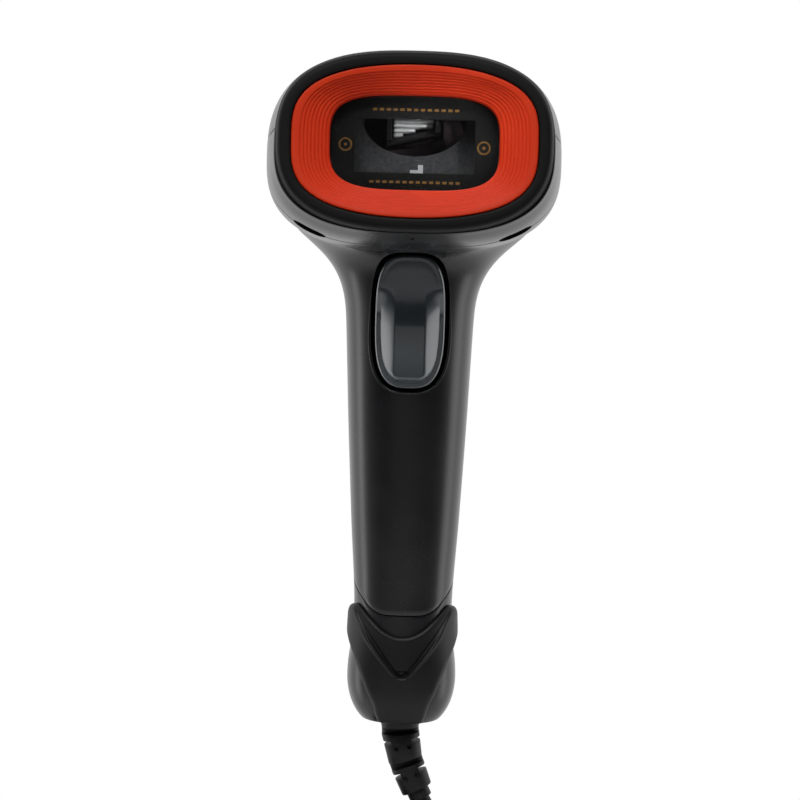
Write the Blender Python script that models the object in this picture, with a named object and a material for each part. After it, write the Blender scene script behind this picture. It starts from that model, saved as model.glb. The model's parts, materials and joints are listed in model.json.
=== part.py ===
"""Hand-held laser bar code scanner with a trigger handle and a detachable USB lead.

Metres, +Z up. The scan window faces -Y, +X is on the right as seen from the front. The origin is the
middle of the grip, on the handle's own axis, which leans by LEAN so that the foot of the handle is
further back than its top.

The head and the handle are one lofted body: rounded sections strung along a spine that runs straight
back through the head, turns down in an arc and goes on as the handle's axis. A place on its skin is a
distance along the spine and a turn round it, from 0 at the front of the handle and the underside of
the head to 180 degrees at the back and the top.
"""

import math
from bisect import bisect_right

import bmesh
import bpy
from mathutils import Matrix, Vector

MM = 0.001

# Driving dimensions
FACE_Y = -65 * MM  # front face of the nose bumper
HEAD_Z = 77 * MM  # height of the spine in the head, and of the scan window
LEAN = math.radians(10)
NECK_RADIUS = 29 * MM  # of the spine where the head turns into the handle
HANDLE_LENGTH = 110.7 * MM  # along the spine, from the neck to the foot
WALL = 2 * MM
GAP = 0.3 * MM  # between pieces that touch
SEAM_TURN = math.radians(97)  # side seam between the front pieces and the rear housing

NECK_TURN = math.pi / 2 - LEAN
NECK_START_Y = -math.tan(LEAN) * (HEAD_Z - NECK_RADIUS * (1 - math.sin(LEAN))) - NECK_RADIUS * math.cos(LEAN)
NECK_START = NECK_START_Y - FACE_Y
NECK_END = NECK_START + NECK_RADIUS * NECK_TURN
SPINE_END = NECK_END + HANDLE_LENGTH

# Sections of the body in millimetres: distance along the spine, half width, reach towards the front
# or the underside, reach towards the back or the top, squareness, and shift of the middle to the back
STATIONS = (
    (2.5, 30.8, 18.6, 21.3, 2.7, -1.2),
    (10, 32.3, 20.0, 23.2, 2.7, -2.3),
    (20, 33.3, 20.6, 24.0, 2.7, -2.6),
    (27, 33.6, 20.6, 24.0, 2.7, -2.6),
    (38, 32.9, 20.2, 23.7, 2.6, -2.2),
    (48, 30.8, 19.0, 22.3, 2.5, -1.6),
    (56, 28.0, 17.6, 20.6, 2.45, -1.0),
    (62, 23.8, 16.8, 19.0, 2.4, -0.5),
    (67.6, 19.3, 16.2, 17.4, 2.4, -0.2),
    (72, 16.8, 16.0, 16.6, 2.4, 0),
    (78, 15.4, 15.8, 16.3, 2.4, 0),
    (88, 14.9, 15.6, 16.0, 2.4, 0),
    (105, 14.2, 14.8, 15.2, 2.4, 0),
    (130, 12.95, 13.8, 14.0, 2.4, 0),
    (153, 11.75, 12.8, 13.0, 2.4, 0),
    (160, 12.2, 12.9, 13.3, 2.4, 0),
    (166, 13.1, 13.4, 13.6, 2.5, 0),
    (181, 13.2, 13.4, 13.6, 2.5, 0),
)
FOOT_ROUND_LENGTH = 10 * MM  # of the rounded foot, along the spine
FOOT_ROUND = (12 * MM, 7.5 * MM)  # half axes of its curve, along the spine and inwards

# Seams, as distances along the spine
NOSE_SEAM = 3 * MM  # behind the nose bumper
CHIN_SEAM = 14.3 * MM
CHIN_SEAM_SIDE = 30 * MM  # where the chin seam meets the side seam
CHIN_FLAT_TURN = math.radians(62)
COLLAR_SEAM = 144.4 * MM  # round the back of the handle's lower end

# The same seam's dip at the front, as (degrees round the spine, millimetres along it)
COLLAR_DIP = (
    (0, 151.1),
    (15, 151.1),
    (22, 151.0),
    (28.5, 150.6),
    (38, 149.6),
    (48.5, 147.9),
    (60, 146.3),
    (80, 144.8),
    (97, 144.4),
)

# Outline of the tail cap. Its top is (share of the way round to its side edge, millimetres along the
# spine), and its side edge is (millimetres along the spine, degrees round the spine)
CAP_TOP = (
    (0, 156.2),
    (0.06, 156.1),
    (0.12, 155.7),
    (0.18, 155.1),
    (0.23, 154.4),
    (0.32, 152.9),
    (0.43, 151.2),
    (0.51, 150.0),
    (0.58, 149.6),
    (0.68, 149.9),
    (0.8, 150.9),
    (0.9, 152.0),
    (1, 153.6),
)
CAP_EDGE = (
    (153, 95),
    (154.5, 98),
    (156.2, 95),
    (157.8, 87),
    (159.3, 70),
    (161.8, 55),
    (165.5, 43.5),
    (169.5, 35),
    (173.2, 28.5),
    (177, 27),
)
CAP_FOOT = 176.9

# Scan head front
BUMPER = (30.2 * MM, 19.45 * MM)
TRIM_OUTER = (27.3 * MM, 16.95 * MM)
TRIM_INNER = (18.8 * MM, 10.5 * MM)
TRIM_DEPTH = 5.8 * MM
WINDOW = (20.2 * MM, 11.9 * MM)
WINDOW_THICKNESS = 1.2 * MM
CLEAR_WIDTH = 26.7 * MM
CLEAR_HEIGHT = 12 * MM

# Trigger, in the handle's own frame: X across, Y to the back, Z up along the handle
TRIGGER_MIDDLE = 41.75 * MM
TRIGGER_HALF_WIDTH = 8.1 * MM
TRIGGER_HALF_HEIGHT = 15.8 * MM
TRIGGER_BACK = -11 * MM
TRIGGER_CLEARANCE = 1.1 * MM
PIVOT = Vector((0, -10 * MM, 53.5 * MM))

# Electronics in the handle, in the handle's own frame
BOARD_FRONT = 5.2 * MM
BOARD_THICKNESS = 1.6 * MM
CASE_SCREWS = {"case_screw_upper": 11 * MM, "case_screw_lower": -14 * MM}

# Scan engine in the head
DECK_Z = 64.5 * MM  # underside of the engine chassis
CHASSIS_HALF_WIDTH = 21 * MM
CHASSIS_FRONT = -52 * MM
CHASSIS_BACK = -21 * MM
CHASSIS_WALL = 1.2 * MM
MIRROR_PIVOT_Y = -27.5 * MM

# Lead
CABLE_RADIUS = 2 * MM
COIL_CENTRE = Vector((-4.6 * MM, 12 * MM, -109.5 * MM))
COIL_RADII = (16.5 * MM, 29.1 * MM)
COIL_HALF_WIDTH = 8.3 * MM
PLUG_X = 14 * MM
PLUG_Y = -0.9 * MM

RELIEF_ROUTE = (
    (0, 8.4, -47.9),
    (0, 10.2, -58.2),
    (0.4, 10.8, -62.7),
    (1.3, 11.2, -66.6),
    (2.7, 11.5, -70.5),
    (4.2, 11.7, -74.0),
    (5.7, 11.8, -77.0),
)
RELIEF_RADII = (4.6, 4.6, 4.4, 4.15, 4.0, 3.85, 3.4)
LEAD_ROUTE = ((5.85, 11.8, -77.3), (7.0, 11.9, -79.2), (8.1, 12.0, -81.0))
END_ROUTE = (
    (14.0, 1.5, -109.5),
    (14.0, 1.3, -112.0),
    (14.0, 0.3, -115.5),
    (14.0, -0.6, -118.5),
    (14.0, -0.9, -121.7),
)

HANDLE = Matrix.Rotation(LEAN, 4, "X")


# Scene, materials and objects


def clear_scene():
    for thing in list(bpy.data.objects):
        bpy.data.objects.remove(thing)


def new_collection(name):
    made = bpy.data.collections.new(name)
    bpy.context.scene.collection.children.link(made)
    return made


def material(name, colour, roughness, metallic=0.0, transmission=0.0):
    made = bpy.data.materials.new(name)
    made.use_nodes = True
    shader = made.node_tree.nodes["Principled BSDF"]
    shader.inputs["Base Color"].default_value = (*colour, 1)
    shader.inputs["Roughness"].default_value = roughness
    shader.inputs["Metallic"].default_value = metallic
    shader.inputs["Transmission Weight"].default_value = transmission
    return made


clear_scene()
PART = new_collection("Handheld_Barcode_Scanner")
CUTTERS = new_collection("Cutters")

GLOSS_BLACK = material("gloss_black", (0.012, 0.012, 0.014), 0.32)
MATTE_BLACK = material("matte_black", (0.02, 0.02, 0.021), 0.6)
ORANGE = material("orange_trim", (0.62, 0.05, 0.02), 0.4)
TRIGGER_GREY = material("trigger_grey", (0.045, 0.06, 0.065), 0.28)
CLEAR = material("window_clear", (0.8, 0.8, 0.8), 0.05, transmission=0.9)
FOAM = material("foam_black", (0.03, 0.03, 0.03), 0.9)
BOARD_GREEN = material("board_green", (0.02, 0.12, 0.05), 0.4)
STEEL = material("steel", (0.6, 0.6, 0.62), 0.3, metallic=1.0)
BRASS = material("brass", (0.7, 0.5, 0.2), 0.3, metallic=1.0)
DIE_CAST = material("die_cast_grey", (0.25, 0.25, 0.26), 0.5, metallic=0.6)
MIRROR = material("mirror_dark", (0.2, 0.2, 0.22), 0.05, metallic=1.0)
WINDING = material("winding_silver", (0.75, 0.75, 0.76), 0.35, metallic=0.5)
WHITE = material("white_plastic", (0.8, 0.8, 0.8), 0.5)
LENS = material("lens_clear", (0.9, 0.9, 0.9), 0.05, transmission=0.9)
CABLE_BLACK = material("cable_black", (0.015, 0.015, 0.016), 0.45)
AMBER = material("ribbon_amber", (0.5, 0.3, 0.06), 0.4)


def add(name, mesh, finish, collection=None):
    thing = bpy.data.objects.new(name, mesh)
    (collection or PART).objects.link(thing)
    mesh.materials.clear()
    mesh.materials.append(finish)
    return thing


def finished(bm, name="shape"):
    bmesh.ops.recalc_face_normals(bm, faces=bm.faces)
    mesh = bpy.data.meshes.new(name)
    bm.to_mesh(mesh)
    bm.free()
    mesh.shade_smooth()
    mesh.set_sharp_from_angle(angle=math.radians(35))
    return mesh


def boolean(thing, mesh, operation, label, place=None):
    """Cuts, or joins on, one helper shape. place is the helper's matrix."""
    helper = add(f"{thing.name}_{label}", mesh, MATTE_BLACK, CUTTERS)
    helper.hide_render = True
    helper.display_type = "WIRE"
    helper.matrix_world = place or Matrix.Identity(4)
    modifier = thing.modifiers.new(label, "BOOLEAN")
    modifier.operation = operation
    modifier.object = helper


def cut(thing, mesh, label, place=None):
    boolean(thing, mesh, "DIFFERENCE", label, place)


def join(thing, mesh, label, place=None):
    boolean(thing, mesh, "UNION", label, place)


# Plain shapes, in millimetres for their arguments where the name ends in _mm


def block_mm(low, high, bevel=0.0):
    bm = bmesh.new()
    bmesh.ops.create_cube(bm, size=1)
    low, high = Vector(low) * MM, Vector(high) * MM
    size, middle = high - low, (high + low) / 2
    bmesh.ops.transform(bm, matrix=Matrix.Translation(middle) @ Matrix.Diagonal((*size, 1)), verts=bm.verts)
    if bevel:
        bmesh.ops.bevel(bm, geom=bm.edges[:], offset=bevel * MM, segments=2, profile=0.5, affect="EDGES")
    return finished(bm)


def rod_mm(start, end, radius, sides=20):
    start, end = Vector(start) * MM, Vector(end) * MM
    bm = bmesh.new()
    turn = (end - start).to_track_quat("Z", "Y").to_matrix().to_4x4()
    bmesh.ops.create_cone(
        bm,
        cap_ends=True,
        segments=sides,
        radius1=radius * MM,
        radius2=radius * MM,
        depth=(end - start).length,
        matrix=Matrix.Translation((start + end) / 2) @ turn,
    )
    return finished(bm)


def screw_mesh(start, direction, head_radius, head_height, radius, length):
    """A pan-head screw in millimetres, as one turned solid. start is the top of its head."""
    bm = bmesh.new()
    edge = 0.3
    profile = (
        (0, 0),
        (head_radius - edge, 0),
        (head_radius, edge),
        (head_radius, head_height),
        (radius, head_height),
        (radius, length - radius),
        (0, length),
    )
    sides = 16
    rings = []
    for r, z in profile[1:-1]:
        turn = [2 * math.pi * i / sides for i in range(sides)]
        rings.append([bm.verts.new((r * MM * math.cos(a), r * MM * math.sin(a), z * MM)) for a in turn])
    bridge_rings(bm, rings)
    tip = bm.verts.new((0, 0, length * MM))
    for i in range(sides):
        bm.faces.new((rings[-1][i], rings[-1][(i + 1) % sides], tip))
    bm.faces.new(rings[0])
    turn = Vector(direction).to_track_quat("Z", "Y").to_matrix().to_4x4()
    bmesh.ops.transform(bm, matrix=Matrix.Translation(Vector(start) * MM) @ turn, verts=bm.verts)
    return finished(bm)


def bridge_rings(bm, rings, closed=False):
    """Quads between rings of equal length, each ring closed on itself."""
    count = len(rings[0])
    pairs = list(zip(rings, rings[1:]))
    if closed:
        pairs.append((rings[-1], rings[0]))
    for a, b in pairs:
        for i in range(count):
            j = (i + 1) % count
            bm.faces.new((a[i], a[j], b[j], b[i]))


def outline_point(half_width, half_height, power_x, power_z, turn):
    """Point of the rounded rectangle |x/w|^px + |z/h|^pz = 1 in the direction of turn, from +Z to +X."""
    across, up = abs(math.sin(turn)) / half_width, abs(math.cos(turn)) / half_height
    low, high = 0.0, 2 * max(half_width, half_height)
    for _ in range(40):
        reach = (low + high) / 2
        if (reach * across) ** power_x + (reach * up) ** power_z < 1:
            low = reach
        else:
            high = reach
    return reach * math.sin(turn), reach * math.cos(turn)


def outline_ring(bm, y, half_width, half_height, power_x, power_z, middle_z=HEAD_Z, sides=44):
    ring = []
    for i in range(sides):
        x, z = outline_point(half_width, half_height, power_x, power_z, 2 * math.pi * i / sides)
        ring.append(bm.verts.new((x, y, middle_z + z)))
    return ring


def frame_ring(name, finish, rings):
    """A closed ring whose cross-section is given by the outlines in rings, each (y, w, h, px, pz)."""
    bm = bmesh.new()
    made = [outline_ring(bm, *ring) for ring in rings]
    bridge_rings(bm, made, closed=True)
    add(name, finished(bm), finish)


def plate(name, finish, front, back, half_width, half_height, power, middle_z=HEAD_Z, sides=44):
    """A solid plate with a rounded outline, square to Y."""
    return add(name, plate_mesh(front, back, half_width, half_height, power, middle_z, sides), finish)


def plate_mesh(front, back, half_width, half_height, power, middle_z=HEAD_Z, sides=44):
    bm = bmesh.new()
    shape = (half_width, half_height, power, power, middle_z, sides)
    rings = [outline_ring(bm, y, *shape) for y in (front, back)]
    bridge_rings(bm, rings)
    for ring in rings:
        bm.faces.new(ring)
    return finished(bm)


def tube(name, finish, route, radii, bevel_resolution=3):
    """A filled tube through route, in millimetres, with a radius for each point."""
    curve = bpy.data.curves.new(name, "CURVE")
    curve.dimensions = "3D"
    curve.bevel_depth = 1 * MM
    curve.bevel_resolution = bevel_resolution
    curve.use_fill_caps = True
    spline = curve.splines.new("POLY")
    spline.points.add(len(route) - 1)
    for point, place, radius in zip(spline.points, route, radii):
        point.co = (*(Vector(place) * MM), 1)
        point.radius = radius
    thing = bpy.data.objects.new(name, curve)
    PART.objects.link(thing)
    curve.materials.append(finish)
    return thing


def smooth_route(route, steps):
    """Catmull-Rom points through route, steps to each stretch."""
    points = [Vector(p) for p in route]
    ends = [2 * points[0] - points[1], *points, 2 * points[-1] - points[-2]]
    made = []
    for a, b, c, d in zip(ends, ends[1:], ends[2:], ends[3:]):
        for i in range(steps):
            t = i / steps
            made.append(
                b
                + 0.5 * (c - a) * t
                + 0.5 * (2 * a - 5 * b + 4 * c - d) * t**2
                + 0.5 * (3 * b - 3 * c + d - a) * t**3
            )
    return [*made, points[-1]]


# The lofted body


def station_slopes(column):
    """Slopes of one column of STATIONS that keep the curve through it free of overshoot."""
    s = [row[0] for row in STATIONS]
    v = [row[column] for row in STATIONS]
    steps = [(v[i + 1] - v[i]) / (s[i + 1] - s[i]) for i in range(len(s) - 1)]
    slopes = [steps[0]]
    for i in range(1, len(s) - 1):
        before, after = s[i] - s[i - 1], s[i + 1] - s[i]
        if steps[i - 1] * steps[i] <= 0:
            slopes.append(0.0)
        else:
            weights = (2 * after + before, after + 2 * before)
            slopes.append(sum(weights) / (weights[0] / steps[i - 1] + weights[1] / steps[i]))
    return [*slopes, steps[-1]]


SLOPES = {column: station_slopes(column) for column in range(1, 6)}


def section(s):
    """Half width, front reach, back reach, squareness and shift of the body at s along the spine."""
    where = s / MM
    i = max(0, min(len(STATIONS) - 2, bisect_right([row[0] for row in STATIONS], where) - 1))
    span = STATIONS[i + 1][0] - STATIONS[i][0]
    t = max(0.0, min(1.0, (where - STATIONS[i][0]) / span))
    values = []
    for column in range(1, 6):
        a, b = STATIONS[i][column], STATIONS[i + 1][column]
        p, q = SLOPES[column][i] * span, SLOPES[column][i + 1] * span
        values.append(
            a * (1 + 2 * t) * (1 - t) ** 2
            + p * t * (1 - t) ** 2
            + b * t * t * (3 - 2 * t)
            + q * t * t * (t - 1)
        )
    width, front, back, power, shift = values
    into = max(0.0, (s - (SPINE_END - FOOT_ROUND_LENGTH)) / FOOT_ROUND[0])
    inset = FOOT_ROUND[1] * (1 - math.sqrt(1 - min(1.0, into) ** 2))
    return width * MM - inset, front * MM - inset, back * MM - inset, power, shift * MM


def spine(s):
    """Place on the spine and the direction from it towards the top or the back."""
    if s <= NECK_START:
        return Vector((0, FACE_Y + s, HEAD_Z)), Vector((0, 0, 1))
    turn = min((s - NECK_START) / NECK_RADIUS, NECK_TURN)
    outward = Vector((0, math.sin(turn), math.cos(turn)))
    place = Vector((0, NECK_START_Y, HEAD_Z - NECK_RADIUS)) + NECK_RADIUS * outward
    if s > NECK_END:
        place += (s - NECK_END) * Vector((0, math.cos(turn), -math.sin(turn)))
    return place, outward


def skin_point(s, turn):
    width, front, back, power, shift = section(s)
    reach = front if math.cos(turn) > 0 else back
    radius = (abs(math.sin(turn) / width) ** power + abs(math.cos(turn) / reach) ** power) ** (-1 / power)
    place, outward = spine(s)
    return place + Vector((radius * math.sin(turn), 0, 0)) + (shift - radius * math.cos(turn)) * outward


def skin(s, turn, height=0.0):
    """A point at a height above the skin, or below it where height is negative."""
    if not height:
        return skin_point(s, turn)
    step = 0.05 * MM
    along = skin_point(min(s + step, SPINE_END), turn) - skin_point(s - step, turn)
    round_it = skin_point(s, turn + 0.002) - skin_point(s, turn - 0.002)
    return skin_point(s, turn) + height * along.cross(round_it).normalized()


def steps(start, end, count):
    return [start + (end - start) * i / count for i in range(count + 1)]


def shell(name, finish, place, columns, rows, outer=0.0, inner=-WALL, around=False):
    """A shell between two heights over the skin. place(p, q) gives (s, turn) for p across, from -1 to 1,
    and q along, a value of rows. around joins the last column to the first."""
    bm = bmesh.new()
    ps = steps(-1, 1, columns)
    if around:
        ps = ps[:-1]
    layers = []
    for height in (outer, inner):
        layers.append([[bm.verts.new(skin(*place(p, q), height)) for p in ps] for q in rows])
    spans = len(ps) if around else len(ps) - 1
    for layer in layers:
        for a, b in zip(layer, layer[1:]):
            for i in range(spans):
                j = (i + 1) % len(ps)
                bm.faces.new((a[i], a[j], b[j], b[i]))
    above, below = layers
    for row in (0, -1):
        for i in range(spans):
            j = (i + 1) % len(ps)
            bm.faces.new((above[row][i], above[row][j], below[row][j], below[row][i]))
    if not around:
        for column in (0, -1):
            for i in range(len(rows) - 1):
                bm.faces.new(
                    (above[i][column], above[i + 1][column], below[i + 1][column], below[i][column])
                )
    return add(name, finished(bm), finish)


def ease(t):
    t = max(0.0, min(1.0, t))
    return t * t * (3 - 2 * t)


def seam_turn(s, side):
    """The side seam's turn at s, moved by half a gap to the given side of it."""
    return SEAM_TURN + side * 0.6 * GAP / section(s)[0]


def chin_seam(turn):
    share = ease((abs(turn) - CHIN_FLAT_TURN) / (SEAM_TURN - CHIN_FLAT_TURN))
    return CHIN_SEAM + (CHIN_SEAM_SIDE - CHIN_SEAM) * share


def table_value(table, where):
    """The value at where of a table of (place, value) rows, with straight lines between them."""
    for (s0, v0), (s1, v1) in zip(table, table[1:]):
        if where <= s1:
            return v0 + (v1 - v0) * max(0.0, where - s0) / (s1 - s0)
    return table[-1][1]


def collar_seam(turn):
    return table_value(COLLAR_DIP, abs(math.degrees(turn))) * MM


BODY_ROWS = sorted({*steps(3, 27, 3), *steps(27, 78, 11), *steps(78, 144, 5)})
BODY_SHARES = [(row - BODY_ROWS[0]) / (BODY_ROWS[-1] - BODY_ROWS[0]) for row in BODY_ROWS]


# Housing


def rear_housing():
    def place(p, q):
        s = NOSE_SEAM + (COLLAR_SEAM - 0.5 * GAP - NOSE_SEAM) * q
        return s, math.pi + p * (math.pi - seam_turn(s, 1))

    made = shell("rear_housing", GLOSS_BLACK, place, 18, BODY_SHARES)
    for name, height in CASE_SCREWS.items():
        z = height / MM
        join(made, rod_mm((0, 13.2, z), (0, 10.2, z), 3.4, 24), f"{name}_boss", HANDLE)
        cut(made, rod_mm((0, 20, z), (0, 11.3, z), 2.5, 24), f"{name}_recess", HANDLE)
        cut(made, rod_mm((0, 20, z), (0, 8, z), 1.6, 16), f"{name}_hole", HANDLE)
    cut(made, indicator_shape(0.35, 70, 110), "indicator_hole", HANDLE)


def chin_shell():
    def place(p, q):
        turn = p * SEAM_TURN
        s = NOSE_SEAM + (chin_seam(turn) - 0.7 * GAP - NOSE_SEAM) * q
        return s, p * seam_turn(s, -1)

    made = shell("chin_shell", GLOSS_BLACK, place, 28, steps(0, 1, 3))
    for side in (-1, 1):
        cut(made, slot_shape(side), f"slot_{side}")


def slot_shape(side):
    """Cutter for one of the two sound slots, which lie across the chin seam."""
    s, turn = CHIN_SEAM, side * math.radians(54)
    middle = skin(s, turn)
    normal = (skin(s, turn, 1 * MM) - middle).normalized()
    across = (skin(s, turn + 0.01) - skin(s, turn - 0.01)).normalized()
    along = normal.cross(across)
    half_length, half_width = 4.1 * MM, 2.9 * MM
    bm = bmesh.new()
    rings = []
    for height in (-4 * MM, 3 * MM):
        ring = []
        for i in range(20):
            angle = 2 * math.pi * i / 20
            reach = (half_length - half_width) * (1 if math.cos(angle) >= 0 else -1)
            ring.append(
                bm.verts.new(
                    middle
                    + height * normal
                    + across * (reach + half_width * math.cos(angle))
                    + along * half_width * math.sin(angle)
                )
            )
        rings.append(ring)
    bridge_rings(bm, rings)
    for ring in rings:
        bm.faces.new(ring)
    return finished(bm)


def grip_front():
    def place(p, q):
        turn = p * SEAM_TURN
        start, end = chin_seam(turn) + 0.7 * GAP, collar_seam(turn) - 0.5 * GAP
        s = start + (end - start) * q
        return s, p * seam_turn(s, -1)

    made = shell("grip_front", GLOSS_BLACK, place, 28, BODY_SHARES)
    for side in (-1, 1):
        low, high = sorted((side * 9.6, side * 11.7))
        y, z = PIVOT.y / MM, PIVOT.z / MM
        join(made, block_mm((low, -12.4, z - 3.2), (high, y + 2.8, z + 3.2)), f"pin_lug_{side}", HANDLE)
        cut(made, slot_shape(side), f"slot_{side}")
    for name, height in CASE_SCREWS.items():
        z = height / MM
        front = -section(NECK_END)[1] / MM
        join(made, rod_mm((0, front + 2.6, z), (0, 9.6, z), 2.7, 20), f"{name}_post", HANDLE)
        cut(made, rod_mm((0, 12, z), (0, -3, z), 1.5, 16), f"{name}_pilot", HANDLE)
    y, z = PIVOT.y / MM, PIVOT.z / MM
    cut(made, rod_mm((-14, y, z), (14, y, z), 1.0 + GAP / MM, 16), "pin_hole", HANDLE)
    cut(made, trigger_prism(TRIGGER_CLEARANCE, -30, -9.4), "trigger_opening", HANDLE)


def tail_cup():
    """The closed lower end of the handle, open at the bottom for the lead."""

    def place(p, q):
        turn = math.pi * p
        start = collar_seam(turn) if abs(turn) < SEAM_TURN else COLLAR_SEAM
        start += 0.5 * GAP
        return start + (SPINE_END - start) * q, turn

    rows = [*steps(0, 0.62, 3), *[0.62 + 0.38 * math.sin(math.pi / 2 * i / 5) for i in range(1, 6)]]
    shell("tail_cup", GLOSS_BLACK, place, 32, rows, around=True)


def tail_cap():
    """The matte bib that wraps the front of the tail, with an ear up each side."""

    def place(p, q):
        side_top = table_value(CAP_TOP, 1)
        top = table_value(CAP_TOP, abs(p))
        edge = table_value(CAP_EDGE, side_top + (CAP_FOOT - side_top) * q)
        return (top + (CAP_FOOT - top) * q) * MM, p * math.radians(edge)

    shell("tail_cap", MATTE_BLACK, place, 28, steps(0, 1, 10), outer=1.8 * MM, inner=GAP)


# Scan window and its surround


def nose_bumper():
    w, h = BUMPER
    tw, th = TRIM_OUTER
    y = FACE_Y
    frame_ring(
        "nose_bumper",
        MATTE_BLACK,
        (
            (y + 2.6 * MM, w + 0.6 * MM, h + 0.5 * MM, 2.7, 2.7),
            (y + 0.7 * MM, w, h, 2.65, 2.65),
            (y, w - 0.9 * MM, h - 0.8 * MM, 2.65, 2.65),
            (y, tw + 0.9 * MM, th + 0.8 * MM, 2.3, 3.1),
            (y + 0.6 * MM, tw + 0.35 * MM, th + 0.35 * MM, 2.2, 3.3),
            (y + 6.5 * MM, tw + 0.35 * MM, th + 0.35 * MM, 2.2, 3.3),
            (y + 6.5 * MM, tw + 1.0 * MM, th + 0.6 * MM, 2.5, 2.9),
            (y + 2.6 * MM, tw + 1.0 * MM, th + 0.6 * MM, 2.5, 2.9),
        ),
    )


def trim_ring():
    w, h = TRIM_OUTER
    iw, ih = TRIM_INNER
    front, back = FACE_Y + 0.8 * MM, FACE_Y + 0.8 * MM + TRIM_DEPTH
    frame_ring(
        "trim_ring",
        ORANGE,
        (
            (front, w, h, 2.2, 3.3),
            (front, w - 0.8 * MM, h - 0.7 * MM, 2.2, 3.3),
            (front * 0.5 + back * 0.5 + 0.4 * MM, (w + iw) / 2, (h + ih) / 2, 2.8, 3.4),
            (back - 0.6 * MM, iw, ih, 3.6, 3.6),
            (back, iw + 0.2 * MM, ih + 0.2 * MM, 3.6, 3.6),
            (back, iw + 1.6 * MM, ih + 1.6 * MM, 3.4, 3.5),
            (front + 2.2 * MM, w, h, 2.2, 3.3),
        ),
    )


def window_parts():
    front = FACE_Y + 0.8 * MM + TRIM_DEPTH + GAP
    back = front + WINDOW_THICKNESS
    plate("scan_window", CLEAR, front, back, *WINDOW, 3.6)
    mask_front = back + GAP
    mask = plate("window_mask", MATTE_BLACK, mask_front, mask_front + 0.3 * MM, *WINDOW, 3.6)
    x, z = CLEAR_WIDTH / 2 / MM, CLEAR_HEIGHT / 2 / MM
    middle = HEAD_Z / MM - 0.5
    cut(mask, block_mm((-x, -70, middle - z), (x, -50, middle + z)), "clear_area")
    start = mask_front + 0.3 * MM + GAP
    w, h = WINDOW
    frame_ring(
        "window_gasket",
        FOAM,
        (
            (start, w, h, 3.6, 3.6),
            (start, w - 3.4 * MM, h - 3 * MM, 3.6, 3.6),
            (start + 1.3 * MM, w - 3.4 * MM, h - 3 * MM, 3.6, 3.6),
            (start + 1.3 * MM, w, h, 3.6, 3.6),
        ),
    )
    frame_front = start + 1.3 * MM + GAP
    frame_back = frame_front + 1.5 * MM
    frame = plate("nose_frame", MATTE_BLACK, frame_front, frame_back, 29.3 * MM, 18.6 * MM, 2.6, 76.3 * MM)
    cut(frame, plate_mesh(frame_front - MM, frame_front + 3 * MM, 16.6 * MM, 8.7 * MM, 3.6), "opening")
    y = frame_front / MM
    for side in (-1, 1):
        join(frame, rod_mm((side * 24, y + 0.8, 76.5), (side * 24, y - 3.4, 76.5), 2.5), f"post_{side}")
        cut(frame, rod_mm((side * 24, y + 5, 76.5), (side * 24, y - 2.6, 76.5), 1.3, 16), f"pilot_{side}")
    return frame_front + 1.5 * MM


# Trigger group


def trigger_outline(grow, turn):
    """Point (x, z) of the trigger's outline in the handle's frame, grown by grow."""
    w, h = TRIGGER_HALF_WIDTH + grow, TRIGGER_HALF_HEIGHT + grow
    power = 3.3 if math.cos(turn) > 0 else 3.0
    across, up = math.sin(turn), math.cos(turn)
    reach = (abs(across / w) ** power + abs(up / h) ** power) ** (-1 / power)
    return reach * across, TRIGGER_MIDDLE + reach * up


def trigger_crest(z):
    """Y of the trigger's crest at height z in the handle's frame."""
    profile = ((25, -19.8), (29, -20.3), (34, -20.4), (41, -20.2), (47, -19.3), (52, -19.1), (58, -18.9))
    return table_value(profile, z / MM) * MM


def trigger_prism(grow, front, back):
    bm = bmesh.new()
    rings = []
    for y in (front * MM, back * MM):
        ring = []
        for i in range(36):
            x, z = trigger_outline(grow, 2 * math.pi * i / 36)
            ring.append(bm.verts.new((x, y, z)))
        rings.append(ring)
    bridge_rings(bm, rings)
    for ring in rings:
        bm.faces.new(ring)
    return finished(bm)


def trigger():
    """The moulded trigger: a raised pad with sloping flanks on a flange, a flat back, a hinge barrel at
    the top and a rib that reaches the switch."""
    flange = -16.6 * MM
    bm = bmesh.new()
    rings = []
    for share, height in ((1.0, None), (1.0, 0.0), (0.87, 0.1), (0.69, 0.55), (0.5, 0.95), (0.25, 1.0)):
        ring = []
        for i in range(36):
            x, z = trigger_outline(0, 2 * math.pi * i / 36)
            x, z = x * share, TRIGGER_MIDDLE + (z - TRIGGER_MIDDLE) * share
            y = TRIGGER_BACK if height is None else flange + (trigger_crest(z) - flange) * height
            ring.append(bm.verts.new((x, y, z)))
        rings.append(ring)
    bridge_rings(bm, rings)
    bm.faces.new(rings[0])
    top = bm.verts.new((0, trigger_crest(TRIGGER_MIDDLE), TRIGGER_MIDDLE))
    for i in range(36):
        bm.faces.new((rings[-1][i], rings[-1][(i + 1) % 36], top))
    made = add("trigger", finished(bm), TRIGGER_GREY)
    made.matrix_world = HANDLE
    y, z = PIVOT.y / MM, PIVOT.z / MM
    join(made, rod_mm((-9, y, z), (9, y, z), 2.6), "barrel", HANDLE)
    join(made, block_mm((-1.2, -12, 28.5), (1.2, -5.9, 31.5)), "rib", HANDLE)
    cut(made, rod_mm((-12, y, z), (12, y, z), 1.15, 20), "bore", HANDLE)
    pin = add("trigger_pin", rod_mm((-12, y, z), (12, y, z), 1.0, 20), STEEL)
    pin.matrix_world = HANDLE


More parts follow.
